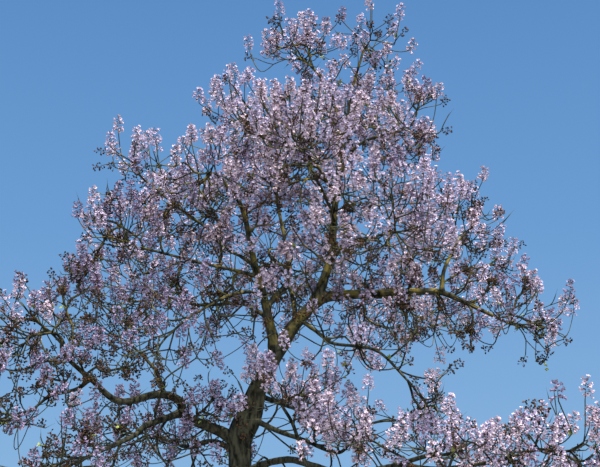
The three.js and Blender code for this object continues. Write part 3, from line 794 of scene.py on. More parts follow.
class Twigs:
    """The nodes of a mass or of the shoots. clusters: top, direction and kind, by the node below."""

    def __init__(self, one):
        self.point, self.axis = np.zeros((ROOM, 3)), np.zeros((ROOM, 3))
        self.way = np.zeros(ROOM)
        self.parents, self.clusters = [-1], {}
        self.point[0], self.axis[0] = one.start, one.start_axis

    def add(self, parent, point):
        number = len(self.parents)
        step = point - self.point[parent]
        length = lengths_of(step)
        self.point[number], self.axis[number] = point, step / length
        self.way[number] = self.way[parent] + length
        self.parents.append(parent)
        return number

    def plant(self, point, axis):
        """A node on a bough, for shoots that start there."""
        number = self.add(0, point)
        self.axis[number], self.way[number] = axis, 0
        return number

    def add_path(self, parent, points):
        for point in points:
            parent = self.add(parent, point)
        return parent

    def relax(self, fixed):
        """Rounds the corners: every free node moves towards the middle of its neighbours."""
        count = len(self.parents)
        parents, inner = np.array(self.parents), np.arange(1, count)
        children = np.bincount(parents[1:], minlength=count)
        free = inner[(children[1:] > 0) & ~np.isin(inner, fixed)]
        for _ in range(RELAX_TIMES):
            total = np.zeros((count, 3))
            np.add.at(total, parents[1:], self.point[1:count])
            middle = (self.point[parents[free]] + total[free] / children[free, None]) / 2
            self.point[free] += (middle - self.point[free]) / 2

    def ends(self):
        """How many clusters each node carries."""
        counts = np.zeros(len(self.parents), dtype=int)
        counts[list(self.clusters)] = 1
        for number in range(len(self.parents) - 1, 0, -1):
            counts[self.parents[number]] += counts[number]
        return counts

    def chains(self):
        """Paths that follow the thickest child. Every other child starts a chain of its own."""
        counts = self.ends()
        children = [[] for _ in self.parents]
        for number, parent in enumerate(self.parents[1:], 1):
            children[parent].append(number)
        starts, found = [[0]], []
        while starts:
            chain = starts.pop()
            while children[chain[-1]]:
                main, *others = sorted(children[chain[-1]], key=lambda number: -counts[number])
                starts += [[chain[-1], other] for other in others]
                chain.append(main)
            found.append(chain)
        return found


print("a tree has room for", ROOM, "nodes")

# %% [markdown]
# Which node should an end join? Always the nearest would give long detours, and always the one with
# the shortest way back to the bough would give a broom. So the cost is the distance plus a share of
# the way back. Nodes that would need a sharp turn are left out. The cheapest one with a clear way is
# taken.

# %% Joining an end
WAY_BACK = 0.4  # how much the way back to the bough counts
WIDEST_FORK = 0.05  # cosine of the widest angle between a twig and its parent
BEND = 0.4  # how far a twig first keeps its parent's direction


def join_end(one, twigs, scale, foot, obstacles):
    """Grows a twig to the foot from the best node that has a clear way, and returns its last node."""
    known = slice(1, len(twigs.parents))
    way = foot - twigs.point[known]
    distance = lengths_of(way)
    forward = (way * twigs.axis[known]).sum(1) > WIDEST_FORK * distance
    forward &= distance < scale.reach
    cost = np.where(forward, distance + WAY_BACK * twigs.way[known], math.inf)
    for number in np.argsort(cost, kind="stable")[:np.count_nonzero(forward)] + 1:
        node, reach = twigs.point[number], distance[number - 1]
        steps = min(1 + int(reach / scale.step), scale.most_steps)
        if steps == 1:
            path = np.array([node, foot])
        else:
            control = node + twigs.axis[number] * (reach * BEND)
            path = bezier(node, control, foot, np.linspace(0, 1, steps + 1))
        clear = misses_all(obstacles, path[:-1], path[1:], scale.twig + scale.clear).all()
        if clear and inside_borders(one, path, 2 * scale.clear).all():
            return twigs.add_path(number, path[1:])
    return None


print("a fine end joins a node within", FINE.reach, "m")

# %% [markdown]
# First the coarse twigs, exactly as in the source: the same random numbers, drawn in the same order.
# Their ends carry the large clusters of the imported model, and the fine twigs are built on them.

# %% Coarse twigs
SOURCE_TRIES = 500
SOURCE_SPACING = 0.67


def coarse_twigs(one):
    draws = seeded(one.seed)
    numbers = np.array([next(draws) for _ in range(SOURCE_TRIES * 4)]).reshape(-1, 4)
    kinds = np.where(numbers[:, 3] < SOURCE.capsule_share, CAPSULES, BLOSSOM)
    tips = draw_tips(one, SOURCE, 2 * numbers[:, :3] - 1, kinds, 0)
    spacings = np.full(len(tips.depth), SOURCE_SPACING)
    twigs = Twigs(one)
    twigs.add_path(0, one.stem[1:])
    for number in scatter(one, SOURCE, tips, one.obstacles, spacings, []):
        end = join_end(one, twigs, SOURCE, tips.foot[number], one.obstacles)
        if end is not None:
            end = twigs.add(end, tips.base[number])
            twigs.clusters[end] = (tips.top[number], tips.axis[number], tips.kinds[number])
    return twigs


for one in MASSES:
    one.obstacles = obstacles_of(one)
    one.coarse = coarse_twigs(one)
print("coarse ends:", sum(len(one.coarse.clusters) for one in MASSES))

# %% [markdown]
# A paulownia's crown is open, and wood and sky show through it in places that no rule can know. The gaps
# are listed, and keep open the places where the photo shows sky or bare wood. They are round as
# the camera sees them, so a point is tested by where its line of sight meets the plane of the trunk.

# %% Open places
GAPS = [  # X and Z of the middle, and the radius
    (-4, 5.1, 0.25), (-3.6, 5.05, 0.3), (-3.3, 7.1, 0.2), (-3.15, 7.45, 0.2), (-3, 8.7, 0.2),
    (-3, 8.9, 0.2), (-2.1, 7.1, 0.15), (-1.85, 4.6, 0.2), (-1.6, 10, 0.18), (-1.5, 10.1, 0.25),
    (-1.3, 10.45, 0.18), (-1.2, 10.75, 0.25), (-1.1, 6.3, 0.2), (-1.1, 6.85, 0.25), (-0.9, 10.95, 0.27),
    (-0.8, 4.7, 0.2), (-0.75, 6.3, 0.2), (-0.2, 6.75, 0.2), (0.3, 5.9, 0.2), (0.3, 7, 0.15),
    (0.45, 11.9, 0.3), (0.5, 8.65, 0.25), (0.55, 5, 0.3), (0.8, 5.5, 0.25), (0.85, 4.7, 0.2),
    (0.95, 11.85, 0.2), (1, 6.65, 0.2), (1.25, 6.8, 0.2), (1.4, 4.75, 0.2), (1.4, 5.05, 0.15),
    (1.8, 4.65, 0.3), (2.15, 4.6, 0.2), (2.25, 5.9, 0.25), (2.4, 7.3, 0.15), (2.5, 5.4, 0.2),
    (2.6, 6, 0.35), (2.85, 5.75, 0.25), (2.95, 12.4, 0.2), (3, 12.95, 0.2), (3.1, 6.6, 0.18),
    (3.25, 11.75, 0.15), (3.45, 6.75, 0.2), (3.45, 11.1, 0.25), (3.85, 10, 0.2), (3.9, 5.85, 0.22),
    (4.25, 5.5, 0.25), (4.25, 6.2, 0.25), (4.6, 5.7, 0.35), (4.65, 9.45, 0.3), (4.7, 6.8, 0.25),
    (5, 4.6, 0.2), (5.4, 7.95, 0.2), (5.8, 5.7, 0.3), (5.8, 7.1, 0.22), (6.1, 5.85, 0.25),
]


def in_gaps(points):
    """Whether the camera sees each point in one of the gaps."""
    eye = np.array(EYE)
    sight = points - eye
    seen = eye + sight * (-eye[1] / sight[:, 1:2])
    gaps = np.array(GAPS)
    away = seen[:, None, [0, 2]] - gaps[None, :, :2]
    return (lengths_of(away) < gaps[:, 2]).any(1)


print("gaps:", len(GAPS))

# %% [markdown]
# Now the same twigs in real detail. Every coarse path is drawn again with short steps and a slight wander,
# because a long straight step would show as a stiff wire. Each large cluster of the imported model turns
# into one more length of twig with a real panicle or bunch at its top.

# %% Coarse twigs again
WANDER = 0.02


def finer_path(joints, random):
    """Points after the first, a short step apart, through the joints of a coarse path."""
    shares = []
    spans = len(joints) - 1
    for span, length in enumerate(lengths_of(np.diff(joints, axis=0))):
        steps = max(1, round(length / FINE.step))
        shares += [(span + step / steps) / spans for step in range(1, steps + 1)]
    points = spline(joints, np.array(shares))
    return points + random.uniform(-WANDER, WANDER, points.shape)


def redraw(one, random):
    """The coarse twigs with fine steps, each carried on to a panicle or to a bunch of capsules."""
    coarse, twigs = one.coarse, Twigs(one)
    again = {0: 0}
    for chain in coarse.chains():
        joints = coarse.point[chain]
        parent = again[chain[0]]
        for point in finer_path(joints, random):
            parent = twigs.add(parent, point)
            again[chain[np.argmin(lengths_of(joints - point))]] = parent
    for number, (top, axis, kind_of) in coarse.clusters.items():
        if in_gaps(top[None]).any():
            continue
        ends = np.array([coarse.point[number], top - axis * FINE.kinds[kind_of].length])
        end = twigs.add_path(again[number], finer_path(ends, random))
        twigs.clusters[end] = (top, axis, kind_of)
    return twigs


straight = np.array([[0, 0, 0], [0, 0, 1.0]])
print("a metre of path gets", len(finer_path(straight, np.random.RandomState(0))), "points")

# %% [markdown]
# Then many fine ends are scattered and joined to them. They stand closer together near the coarse
# clusters, so blossom gathers in clumps at the ends of branches and the sky shows between them. Last, the
# corners of all twigs are rounded a little.

# %% Fine twigs
FINE_SEED = 400
TRIES_PER_CUBIC_METRE = 300
BARE_ENDS = 0.28  # the share of fine ends that carry nothing, on the whole
BARE_BY_BLOOM = ((0.3, 0.9), (0.45, 0.15))  # few where a mass flowers freely, and many where it doesn't
LEAN = 0.3
NEAREST, FARTHEST = 0.2, 0.6  # spacing of the tops in and between the clumps
SPREAD = 0.5  # how fast the spacing grows with the distance from a clump
LESS_BLOOM_BELOW = 0.25  # how much the share in flower changes from a mass's middle to its top


def picked(tips, which):
    return SimpleNamespace(**{name: values[which] for name, values in vars(tips).items()})


def random_kinds(in_flower, count, random):
    """Bare ends, and of the others the given share in flower."""
    with_cluster = np.where(random.uniform(0, 1, count) < in_flower, BLOSSOM, CAPSULES)
    is_bare = random.uniform(0, 1, count) < np.interp(in_flower, *BARE_BY_BLOOM)
    return np.where(is_bare, BARE, with_cluster)


def join_fine_ends(space, twigs, tips, chosen, obstacles):
    for number in chosen:
        end = join_end(space, twigs, FINE, tips.foot[number], obstacles)
        if end is not None:
            end = twigs.add(end, tips.base[number])
            twigs.clusters[end] = (tips.top[number], tips.axis[number], tips.kinds[number])


def fine_twigs(one, number):
    random = np.random.RandomState(FINE_SEED + number)
    twigs = redraw(one, random)
    tries = int(TRIES_PER_CUBIC_METRE * 8 * one.size.prod())
    u = random.uniform(-1, 1, (tries, 3))
    in_flower = one.bloom + LESS_BLOOM_BELOW * u[:, 2]
    kinds = random_kinds(in_flower, tries, random)
    tips = draw_tips(one, FINE, u, kinds, random.uniform(-LEAN, LEAN, (tries, 3)))
    tips = picked(tips, ~in_gaps((tips.top + tips.base) / 2))
    tops, axes = (np.array(rows) for rows in list(zip(*one.coarse.clusters.values()))[:2])
    away = lengths_of(tips.top[:, None] - (tops - axes * SOURCE.kinds[BLOSSOM].length / 2)).min(1)
    spacings = np.minimum(NEAREST + SPREAD * away, FARTHEST) * ((1 - BARE_ENDS) / one.fill) ** (1 / 3)
    chosen = scatter(one, FINE, tips, one.obstacles, spacings, tops)
    join_fine_ends(one, twigs, tips, chosen, one.obstacles)
    twigs.relax(list(twigs.clusters))
    return twigs


for number, one in enumerate(MASSES):
    one.twigs = fine_twigs(one, number)
print("ends in the masses:", sum(len(one.twigs.clusters) for one in MASSES))

# %% [markdown]
# Between the masses the boughs carry small clumps of their own. A random scatter would spread them evenly,
# but the eye knows a tree by where its clumps are, so these are listed one by one where the photo shows
# blossom or capsules. Each is a small ball of random ends.

# %% Clumps between the masses
CLUMP_TRIES = 120
CLUMP_SPACING = 0.17
CLUMPS = [  # the middle, the radius and the share in flower
    ((3.9, -4.5, 4.2), 0.45, 0.8), ((4.3, -4.8, 4.6), 0.35, 0.8), ((3.3, -3.6, 4.6), 0.35, 0.8),
    ((3.1, -2.5, 5.3), 0.35, 0.7), ((2.1, -1.1, 6.6), 0.3, 0.6), ((4.7, 0, 8.3), 0.4, 0.6),
    ((4.1, -0.1, 8.1), 0.35, 0.5), ((4.4, -0.4, 7.8), 0.3, 0.5), ((5.2, -0.5, 7), 0.3, 0.6),
    ((4.1, 0, 9.3), 0.3, 0.6), ((3.3, -0.3, 11.4), 0.3, 0.8), ((3.2, -0.3, 10.6), 0.3, 0.8),
    ((1.2, 0, 12.8), 0.3, 0.7), ((-1.7, -0.3, 9.3), 0.3, 0.7), ((-2.3, -0.4, 9.3), 0.35, 0.6),
    ((-2.7, -0.5, 7.9), 0.45, 0.4), ((-0.2, -0.4, 5.75), 0.35, 0.8), ((-2.6, -1.8, 5.8), 0.35, 0.2),
    ((-2.8, -2.2, 5.5), 0.3, 0.2), ((-3.2, -2, 6.9), 0.4, 0.2), ((-2.6, -3, 4.3), 0.4, 0.2),
    ((-2.1, -2.7, 4.8), 0.3, 0.2), ((-2.6, -1.3, 7.7), 0.35, 0.55), ((-0.6, -0.7, 5.6), 0.35, 0.5),
    ((0.4, -0.55, 6.3), 0.25, 0.95), ((-2.1, -1.5, 6.1), 0.3, 0.3), ((0.55, 0, 12.6), 0.2, 0.85),
    ((-1.3, -0.5, 8.9), 0.3, 0.4), ((-3.7, -1.8, 6.4), 0.35, 0.45), ((-2.8, -1.6, 7.3), 0.35, 0.6),
    ((1.7, -1.7, 5), 0.35, 0.85), ((1.1, -1.2, 5.75), 0.25, 0.9), ((1.35, -1.4, 5.4), 0.3, 0.9),
    ((2, -1.8, 4.8), 0.3, 0.9), ((-3.5, -2.2, 5.2), 0.3, 0.3), ((-2.4, -1.7, 6.2), 0.25, 0.35),
    ((-2.5, -1.6, 6.5), 0.25, 0.4), ((-3, -1.9, 6.15), 0.25, 0.4), ((1.95, -0.4, 9.1), 0.3, 0.5),
    ((2.2, -0.5, 7.8), 0.25, 0.5), ((-1.7, -1.9, 5.05), 0.25, 0.2), ((2.25, 0.3, 11.9), 0.25, 0.8),
    ((4.8, -4.6, 4.1), 0.25, 0.85), ((-0.1, -0.4, 7.9), 0.3, 0.5), ((-0.3, -0.4, 7.55), 0.35, 0.4),
    ((-0.9, -0.9, 5.5), 0.3, 0.4), ((2.9, -2.1, 5.3), 0.3, 0.7), ((5.15, -4.7, 4.65), 0.15, 0.85),
    ((3.95, -0.5, 6.95), 0.25, 0.4), ((-2.55, -1.5, 6.75), 0.25, 0.4), ((-1, -0.6, 8.15), 0.3, 0.4),
    ((-1.05, -0.6, 7.65), 0.3, 0.35), ((2.95, -0.6, 7.85), 0.3, 0.4), ((3.5, -0.4, 7.4), 0.3, 0.4),
    ((2.8, -0.6, 7.35), 0.3, 0.5), ((-2.5, -2.5, 4.55), 0.3, 0.15), ((-0.4, -0.4, 8.75), 0.3, 0.5),
    ((-1.75, -0.2, 9.3), 0.25, 0.7), ((-2.45, -0.3, 9), 0.25, 0.7), ((-0.35, -0.6, 5.8), 0.25, 0.7),
    ((5.1, -0.6, 6.35), 0.12, 0), ((3.95, -0.6, 6.55), 0.12, 0), ((-2.7, -1.9, 5.95), 0.25, 0.3),
    ((-0.8, -0.9, 5.4), 0.2, 0.5), ((4.95, -0.6, 7.75), 0.25, 0.7), ((-2.85, -1.9, 5.85), 0.3, 0.15),
    ((-2.2, -1.9, 5.85), 0.3, 0.15), ((-1.6, -1.9, 6), 0.3, 0.15), ((-1.05, -1.9, 5.85), 0.3, 0.15),
]
print("clumps:", len(CLUMPS))

# %% [markdown]
# Nor are the boughs bare between the clumps: thin crooked shoots leave them all along. They start from
# points inside the boughs, so that no gap shows between a shoot and the bark. The foot of a bough
# stays bare.

# %% Places along the boughs
BARE_SHARE = 0.15  # of a bough, from its foot
LAST_PLACE = 0.98  # of a bough's length


def places_along_boughs(apart):
    """Points and directions inside every limb but the trunk."""
    points, axes = [], []
    for one in grown.values():
        if one.row.parent:
            share = 0 if one.row.along == TIP else BARE_SHARE
            steps = max(2, round(one.path.length * (1 - share) / apart))
            distances = np.linspace(share, LAST_PLACE, steps) * one.path.length
            points.append(points_at(one.path, distances))
            axes.append(axes_along(points[-1]))
    return np.vstack(points), np.vstack(axes)


print("places 1 m apart:", len(places_along_boughs(1)[0]))

# %% [markdown]
# The shoots carry a few panicles and many capsules, and the sky shows through. The same rule grows them.
# Here the ends are scattered round the boughs, outside the masses, and no borders hold them in. The
# ends nearest to a bough are joined first, so the others can grow from them.

# %% Shoots along the boughs
SHOOT_SEED = 61
SHOOT_NODES_APART = 0.3
SHOOT_REACH = 1.3
SHOOT_TRIES = 5000
SHOOT_SPACING = (0.31, 0.22)  # low in the tree and in the crown
CROWN_FROM, CROWN_TO = 7.5, 9.5  # the heights between which it changes
SHOOT_BLOOM = 0.38
LOWEST_SHOOT = 4.0
OPEN_AIR = SimpleNamespace(
    centre=np.zeros(3), size=np.full(3, math.inf), normals=np.zeros((0, 3)), limits=np.zeros(0),
    start=grown["trunk"].tip, start_axis=UP,
)
NO_OBSTACLES = (np.zeros((0, 3)), np.zeros((0, 3)), np.zeros(0))


def tips_round(places, size, bloom, random):
    """One random end near each place, with the spacing that it needs."""
    count = len(places)
    around = SimpleNamespace(centre=places, size=size)
    u = random.uniform(-1, 1, (count, 3))
    kinds = random_kinds(bloom, count, random)
    return draw_tips(around, FINE, u, kinds, random.uniform(-LEAN, LEAN, (count, 3)))


def all_shoot_tips(random):
    """Ends for the shoots and for the clumps, and how far each keeps from others."""
    places, _ = places_along_boughs(FINE.step)
    places = places[random.randint(0, len(places), SHOOT_TRIES)]
    tips = tips_round(places, SHOOT_REACH, SHOOT_BLOOM, random)
    outside = np.all([depth_in(one, tips.top) > 1 for one in MASSES], 0)
    groups = [picked(tips, outside & (tips.top[:, 2] > LOWEST_SHOOT))]
    spacings = [np.interp(groups[0].top[:, 2], (CROWN_FROM, CROWN_TO), SHOOT_SPACING)]
    for middle, radius, bloom in CLUMPS:
        groups.append(tips_round(np.tile(middle, (CLUMP_TRIES, 1)), radius, bloom, random))
        spacings.append(np.full(len(groups[-1].depth), CLUMP_SPACING))
    tips = SimpleNamespace(**{
        name: np.concatenate([vars(group)[name] for group in groups]) for name in vars(groups[0])
    })
    spacings = np.concatenate(spacings)
    clear = ~in_gaps((tips.top + tips.base) / 2)
    return picked(tips, clear), spacings[clear]


def grow_shoots():
    random = np.random.RandomState(SHOOT_SEED)
    twigs = Twigs(OPEN_AIR)
    planted = [twigs.plant(point, axis) for point, axis in zip(*places_along_boughs(SHOOT_NODES_APART))]
    tips, spacings = all_shoot_tips(random)
    taken = [top for one in MASSES for top, _, _ in one.twigs.clusters.values()]
    chosen = scatter(OPEN_AIR, FINE, tips, obstacles_of(OPEN_AIR), spacings, taken)
    boughs = twigs.point[planted]
    away = np.array([lengths_of(boughs - foot).min() for foot in tips.foot[chosen]])
    chosen = chosen[np.argsort(away, kind="stable")]
    join_fine_ends(OPEN_AIR, twigs, tips, chosen, NO_OBSTACLES)
    twigs.relax(planted + list(twigs.clusters))
    return twigs


shoots = grow_shoots()
growers = [*(one.twigs for one in MASSES), shoots]
clusters = [cluster for grower in growers for cluster in grower.clusters.values()]
panicles = [(top, axis) for top, axis, kind_of in clusters if kind_of == BLOSSOM]
bunches = [(top, axis) for top, axis, kind_of in clusters if kind_of == CAPSULES]
print("ends on shoots:", len(shoots.clusters))
print("panicles:", len(panicles), "bunches of capsules:", len(bunches))

# %% [markdown]
# A twig is thicker the more ends it carries, by a power that gives the bough's own width at the bough.
# It runs on as the thin axis of its panicle or bunch. Thick twigs go into one mesh that gets the bark's
# material, and thin ones into another. The stem starts a little inside the bough's tip.

# %% Twig meshes
AXIS_RADII = (0.0022, 0.001)  # of the axis inside a cluster, at its middle and top
STEM_SUNK = 0.08
SHOOT_POWER = 0.5
THICKEST_SHOOT = 0.02
BRANCH_RADIUS = 0.014
SIDES = ((0.03, 10), (BRANCH_RADIUS, 6), (0.0085, 4), (0, 3))


def twig_shapes(twigs, stem_radius=None):
    """The tubes of all chains, as pairs of the first radius and the tube. Shoots have no stem."""
    inner = {}
    for end, (top, _, _) in list(twigs.clusters.items()):
        half_way = twigs.add(end, (twigs.point[end] + top) / 2)
        inner[half_way] = AXIS_RADII[0]
        inner[twigs.add(half_way, top)] = AXIS_RADII[1]
    counts = twigs.ends()
    power, thickest = SHOOT_POWER, THICKEST_SHOOT
    if stem_radius:
        power, thickest = math.log(stem_radius / FINE.twig) / math.log(counts[0]), stem_radius
    shapes = []
    for chain in twigs.chains():
        if len(chain) < 2 or not (counts[chain[1]] or chain[1] in inner):
            continue
        first_axis = None
        points = twigs.point[chain]
        radii = [
            inner.get(number) or min(FINE.twig * counts[number] ** power, thickest) for number in chain
        ]
        if chain[0] > 0:
            # A side twig starts in the middle of its parent, as wide as it goes on.
            radii[0] = radii[1]
        elif stem_radius:
            # The stem starts inside the bough's tip.
            first_axis = twigs.axis[0]
            points, radii = np.vstack([points[:1] - first_axis * STEM_SUNK, points]), radii[:1] + radii
        else:
            # A shoot starts at its own node in a bough, as wide as it goes on.
            points, radii = points[1:], [radii[2], *radii[2:]] if len(radii) > 2 else []
        if len(radii) > 1:
            sides = next(sides for least, sides in SIDES if radii[0] > least)
            shapes.append((radii[0], tube(points, radii, sides, first_axis)))
    return shapes


shapes = [shape for one in MASSES for shape in twig_shapes(one.twigs, one.start_radius)]
shapes += twig_shapes(shoots)
thick = [shape for radius, shape in shapes if radius > BRANCH_RADIUS]
thin = [shape for radius, shape in shapes if radius <= BRANCH_RADIUS]
branches = new_piece("branches", joined(thick), True)
twigs = new_piece("twigs", joined(thin), True)
print("branches:", len(branches.data.polygons), "faces, twigs:", len(twigs.data.polygons), "faces")

# %% [markdown]
# Flowers, buds, capsules and leaves come in thousands, and an object for each would be far too slow.
# So each kind is drawn once round its own axis, and then copied by arrays: every copy has an origin,
# a frame of three axes and a size, and all copies of a kind are one mesh.

# %% Copies of small shapes
def ring(sides, radius, height, turn=0.0):
    angles = (np.arange(sides) + turn) * (2 * math.pi / sides)
    return np.column_stack([radius * np.cos(angles), radius * np.sin(angles), np.full(sides, height)])


def frames_along(axes, rolls):
    """Frames whose third axis is given, each rolled round it."""
    helper = np.where(np.abs(axes[:, 2:]) < TOO_CLOSE, UP, SIDEWAYS)
    side = unit(np.cross(helper, axes))
    other = np.cross(axes, side)
    cos, sin = np.cos(rolls)[:, None], np.sin(rolls)[:, None]
    return np.stack([side * cos + other * sin, other * cos - side * sin, axes], -1)


def copies(shape, origins, frames, sizes):
    points, faces = shape
    turned = np.einsum("nij,pj->npi", frames, points) * sizes[:, None, None]
    shifts = np.arange(len(origins))[:, None, None] * len(points)
    return (origins[:, None] + turned).reshape(-1, 3), (faces[None] + shifts).reshape(-1, 3)


def cone(sides, radius, height, foot=0.0):
    """A funnel that opens upwards from a point."""
    side = np.arange(sides)
    points = np.vstack([[0, 0, foot], ring(sides, radius, height)])
    return points, np.column_stack([0 * side, side + 1, (side + 1) % sides + 1])


def spindle(sides, radius, length, widest):
    """Closed, and pointed at both ends."""
    side = np.arange(sides)
    after = (side + 1) % sides
    points = np.vstack([[0, 0, 0], ring(sides, radius, widest * length), [0, 0, length]])
    lower = np.column_stack([0 * side, after + 1, side + 1])
    upper = np.column_stack([0 * side + sides + 1, side + 1, after + 1])
    return points, np.vstack([lower, upper])


print("a spindle of 4 sides has", len(spindle(4, 1, 1, 0.5)[1]), "triangles")

# %% [markdown]
# A paulownia flower is a funnel with five spreading lobes, a finger long. Its buds and its seed capsules
# are pointed at both ends. From the camera a flower is only a few pixels wide, so two triangles
# a lobe are enough to catch the light.

# %% Flower, bud and capsule
FLOWER_LENGTH = 0.057
FUNNEL_FOOT = -0.006  # the funnel's point lies a little inside the stalk's cup
THROAT = 0.016
MOUTH = 0.03
LOBES = 5
LOBE_ENDS = ((1.24, 0.2), (1.12, 0.8))  # shares of the flower's length and of the turn to the next lobe


def flower_lobes():
    """Five lobes of two triangles each, from the mouth of the funnel out and a little forward."""
    mouth = ring(LOBES, THROAT, FLOWER_LENGTH)
    near_side, far_side = (ring(LOBES, MOUTH, FLOWER_LENGTH * high, turn) for high, turn in LOBE_ENDS)
    side = np.arange(LOBES)
    after = (side + 1) % LOBES
    first = np.column_stack([side, side + LOBES, side + 2 * LOBES])
    second = np.column_stack([side, side + 2 * LOBES, after])
    return np.vstack([mouth, near_side, far_side]), np.vstack([first, second])


SHAPES = {
    "lobes": flower_lobes(),
    "funnel": cone(LOBES, THROAT, FLOWER_LENGTH, FUNNEL_FOOT),
    "bud": spindle(sides=3, radius=0.0075, length=0.024, widest=0.65),
    "capsule": spindle(sides=4, radius=0.016, length=0.042, widest=0.4),
}
print("triangles:", {name: len(faces) for name, (_, faces) in SHAPES.items()})

# %% [markdown]
# A panicle is a loose upright cone of flowers round the end of a twig, with unopened buds at its point.
# Its flowers follow each other round the axis by the golden angle, which keeps them from lining up.
# Those at the foot stand out level or nod, and those at the top point up. Each sits on a short stalk
# with a brown felt cup.

# %% Panicles
FLOWERS = 19
PRESENT = 0.88  # the share of them that haven't dropped
PANICLE_LENGTHS = (0.75, 1.05)  # shares of the full length
AXIS_TOP = 0.9  # the share of a panicle's length that has flowers
CROWDING = 1.1  # above 1 the flowers stand closer together at the foot
SHARE_JITTER, TURN_JITTER, RISE_JITTER = 0.03, 0.5, 0.4
GOLDEN = math.pi * (3 - math.sqrt(5))
LOWER_REACH, TOP_REACH = 0.036, 0.006  # from the axis to the foot of a flower
REACH_RANGE = (0.8, 1.4)
LIFT = 0.3  # how far up a stalk goes for each metre out
LOWEST_RISE, HIGHEST_RISE = math.radians(-45), math.radians(50)
BUDS = 4
BUD_SHARES = (0.84, 1.0)
BUD_POINT, BUD_SLOPE = 1.05, 0.09  # the buds lie on a cone with its point a little past the top
BUD_RISES = (0.6, 1.4)


def round_an_axis(cluster, shares, angles, reaches, rises):
    """Points on the axis, points off it, and the directions out of it, for one cluster."""
    top, axis, length = cluster
    frame_of = frames_along(axis[None], np.zeros(1))[0]
    out = np.column_stack([np.cos(angles), np.sin(angles)]) @ frame_of[:, :2].T
    inner = top - axis * (length * (1 - shares[:, None]))
    way = out * np.cos(rises)[:, None] + axis * np.sin(rises)[:, None]
    return inner, inner + out * reaches[:, None] + axis * (LIFT * reaches[:, None]), way


def panicle(top, axis, random):
    """Rows for every flower and bud: inner point, foot and direction."""
    cluster = (top, axis, FINE.kinds[BLOSSOM].length * random.uniform(*PANICLE_LENGTHS))
    number = np.flatnonzero(random.uniform(0, 1, FLOWERS) < PRESENT)
    count = len(number)
    shares = AXIS_TOP * ((number + 0.5) / FLOWERS) ** CROWDING
    shares = shares + random.uniform(-SHARE_JITTER, SHARE_JITTER, count)
    angles = number * GOLDEN + random.uniform(0, 2 * math.pi)
    angles = angles + random.uniform(-TURN_JITTER, TURN_JITTER, count)
    reaches = TOP_REACH + (LOWER_REACH - TOP_REACH) * (1 - shares)
    reaches = reaches * random.uniform(*REACH_RANGE, count)
    rises = LOWEST_RISE + (HIGHEST_RISE - LOWEST_RISE) * shares
    rises = rises + random.uniform(-RISE_JITTER, RISE_JITTER, count)
    flowers = round_an_axis(cluster, shares, angles, reaches, rises)
    high = random.uniform(*BUD_SHARES, BUDS)
    turns = random.uniform(0, 2 * math.pi, BUDS)
    bud_rises = random.uniform(*BUD_RISES, BUDS)
    buds = round_an_axis(cluster, high, turns, (BUD_POINT - high) * BUD_SLOPE, bud_rises)
    return flowers, buds


def stalks(starts, ends, frames, sizes, radius):
    """Thin cones from a point on an axis to a small three-sided cup at the foot of a flower."""
    rim = ring(3, radius, 0)
    cups = ends[:, None] + np.einsum("nij,pj->npi", frames, rim) * sizes[:, None, None]
    corners = np.concatenate([starts[:, None], cups], 1).reshape(-1, 3)
    faces = np.array([[0, 1, 2], [0, 2, 3], [0, 3, 1]])
    return corners, (faces[None] + np.arange(len(starts))[:, None, None] * 4).reshape(-1, 3)


print("a panicle has at most", FLOWERS, "flowers and", BUDS, "buds")

# %% [markdown]
# Not all panicles have the same colour. Most are pale or pink, and some are a darker, dull violet.
# A tint is dealt out by panicle, and all petals of one tint are one piece, so a tint is no more than a
# material. Where a mass has little bloom left, more of its panicles are violet.

# %% Blossom
PANICLE_SEED = 900
FLOWER_SIZES, BUD_SIZES = (0.88, 1.14), (0.8, 1.2)
CUP = 0.011
TINTS = ("pale", "pink", "violet")
PINK_SHARE = 0.42  # of the panicles that aren't violet
VIOLET_SHARE = (1.5, -1.9)  # of violet ones: where nothing is in bloom, and the change with bloom
LEAST_VIOLET = 0.12


def bloom_near(points):
    """The share in flower of the mass that each point is in, or nearest to."""
    nearest = np.argmin([depth_in(one, points) for one in MASSES], 0)
    return np.array([one.bloom for one in MASSES])[nearest]


random = np.random.RandomState(PANICLE_SEED)
flowers, buds, tints = [], [], []
for (top, axis), bloom in zip(panicles, bloom_near(np.array([top for top, _ in panicles]))):
    of_flowers, of_buds = panicle(top, axis, random)
    flowers.append(of_flowers)
    buds.append(of_buds)
    violet = np.clip(VIOLET_SHARE[0] + VIOLET_SHARE[1] * bloom, LEAST_VIOLET, 1)
    bright = 1 - violet
    tints.append(random.choice(len(TINTS), p=((1 - PINK_SHARE) * bright, PINK_SHARE * bright, violet)))
inner, feet, ways = (np.concatenate(rows) for rows in zip(*flowers))
tints = np.repeat(tints, [len(rows[0]) for rows in flowers])
frames = frames_along(ways, random.uniform(0, 2 * math.pi, len(ways)))
sizes = random.uniform(*FLOWER_SIZES, len(ways))
petals, funnels = [], []
for tint, name in enumerate(TINTS):
    own = tints == tint
    placed = feet[own], frames[own], sizes[own]
    petals.append(new_piece("petals_" + name, copies(SHAPES["lobes"], *placed), True))
    funnels.append(new_piece("funnels_" + name, copies(SHAPES["funnel"], *placed), True))
cups = new_piece("cups", stalks(inner, feet + ways * CUP, frames, sizes, CUP), True)
_, bud_feet, bud_ways = (np.concatenate(rows) for rows in zip(*buds))
bud_frames = frames_along(bud_ways, np.zeros(len(bud_ways)))
bud_sizes = random.uniform(*BUD_SIZES, len(bud_ways))
buds = new_piece("buds", copies(SHAPES["bud"], bud_feet, bud_frames, bud_sizes), True)
print("flowers:", len(ways), "petal faces:", [len(piece.data.polygons) for piece in petals])

# %% [markdown]
# Last year's seed capsules still hang in brown bunches under and between the panicles.
# Most are dark. Some have split and show an orange-brown inside, so they are a piece of their own.

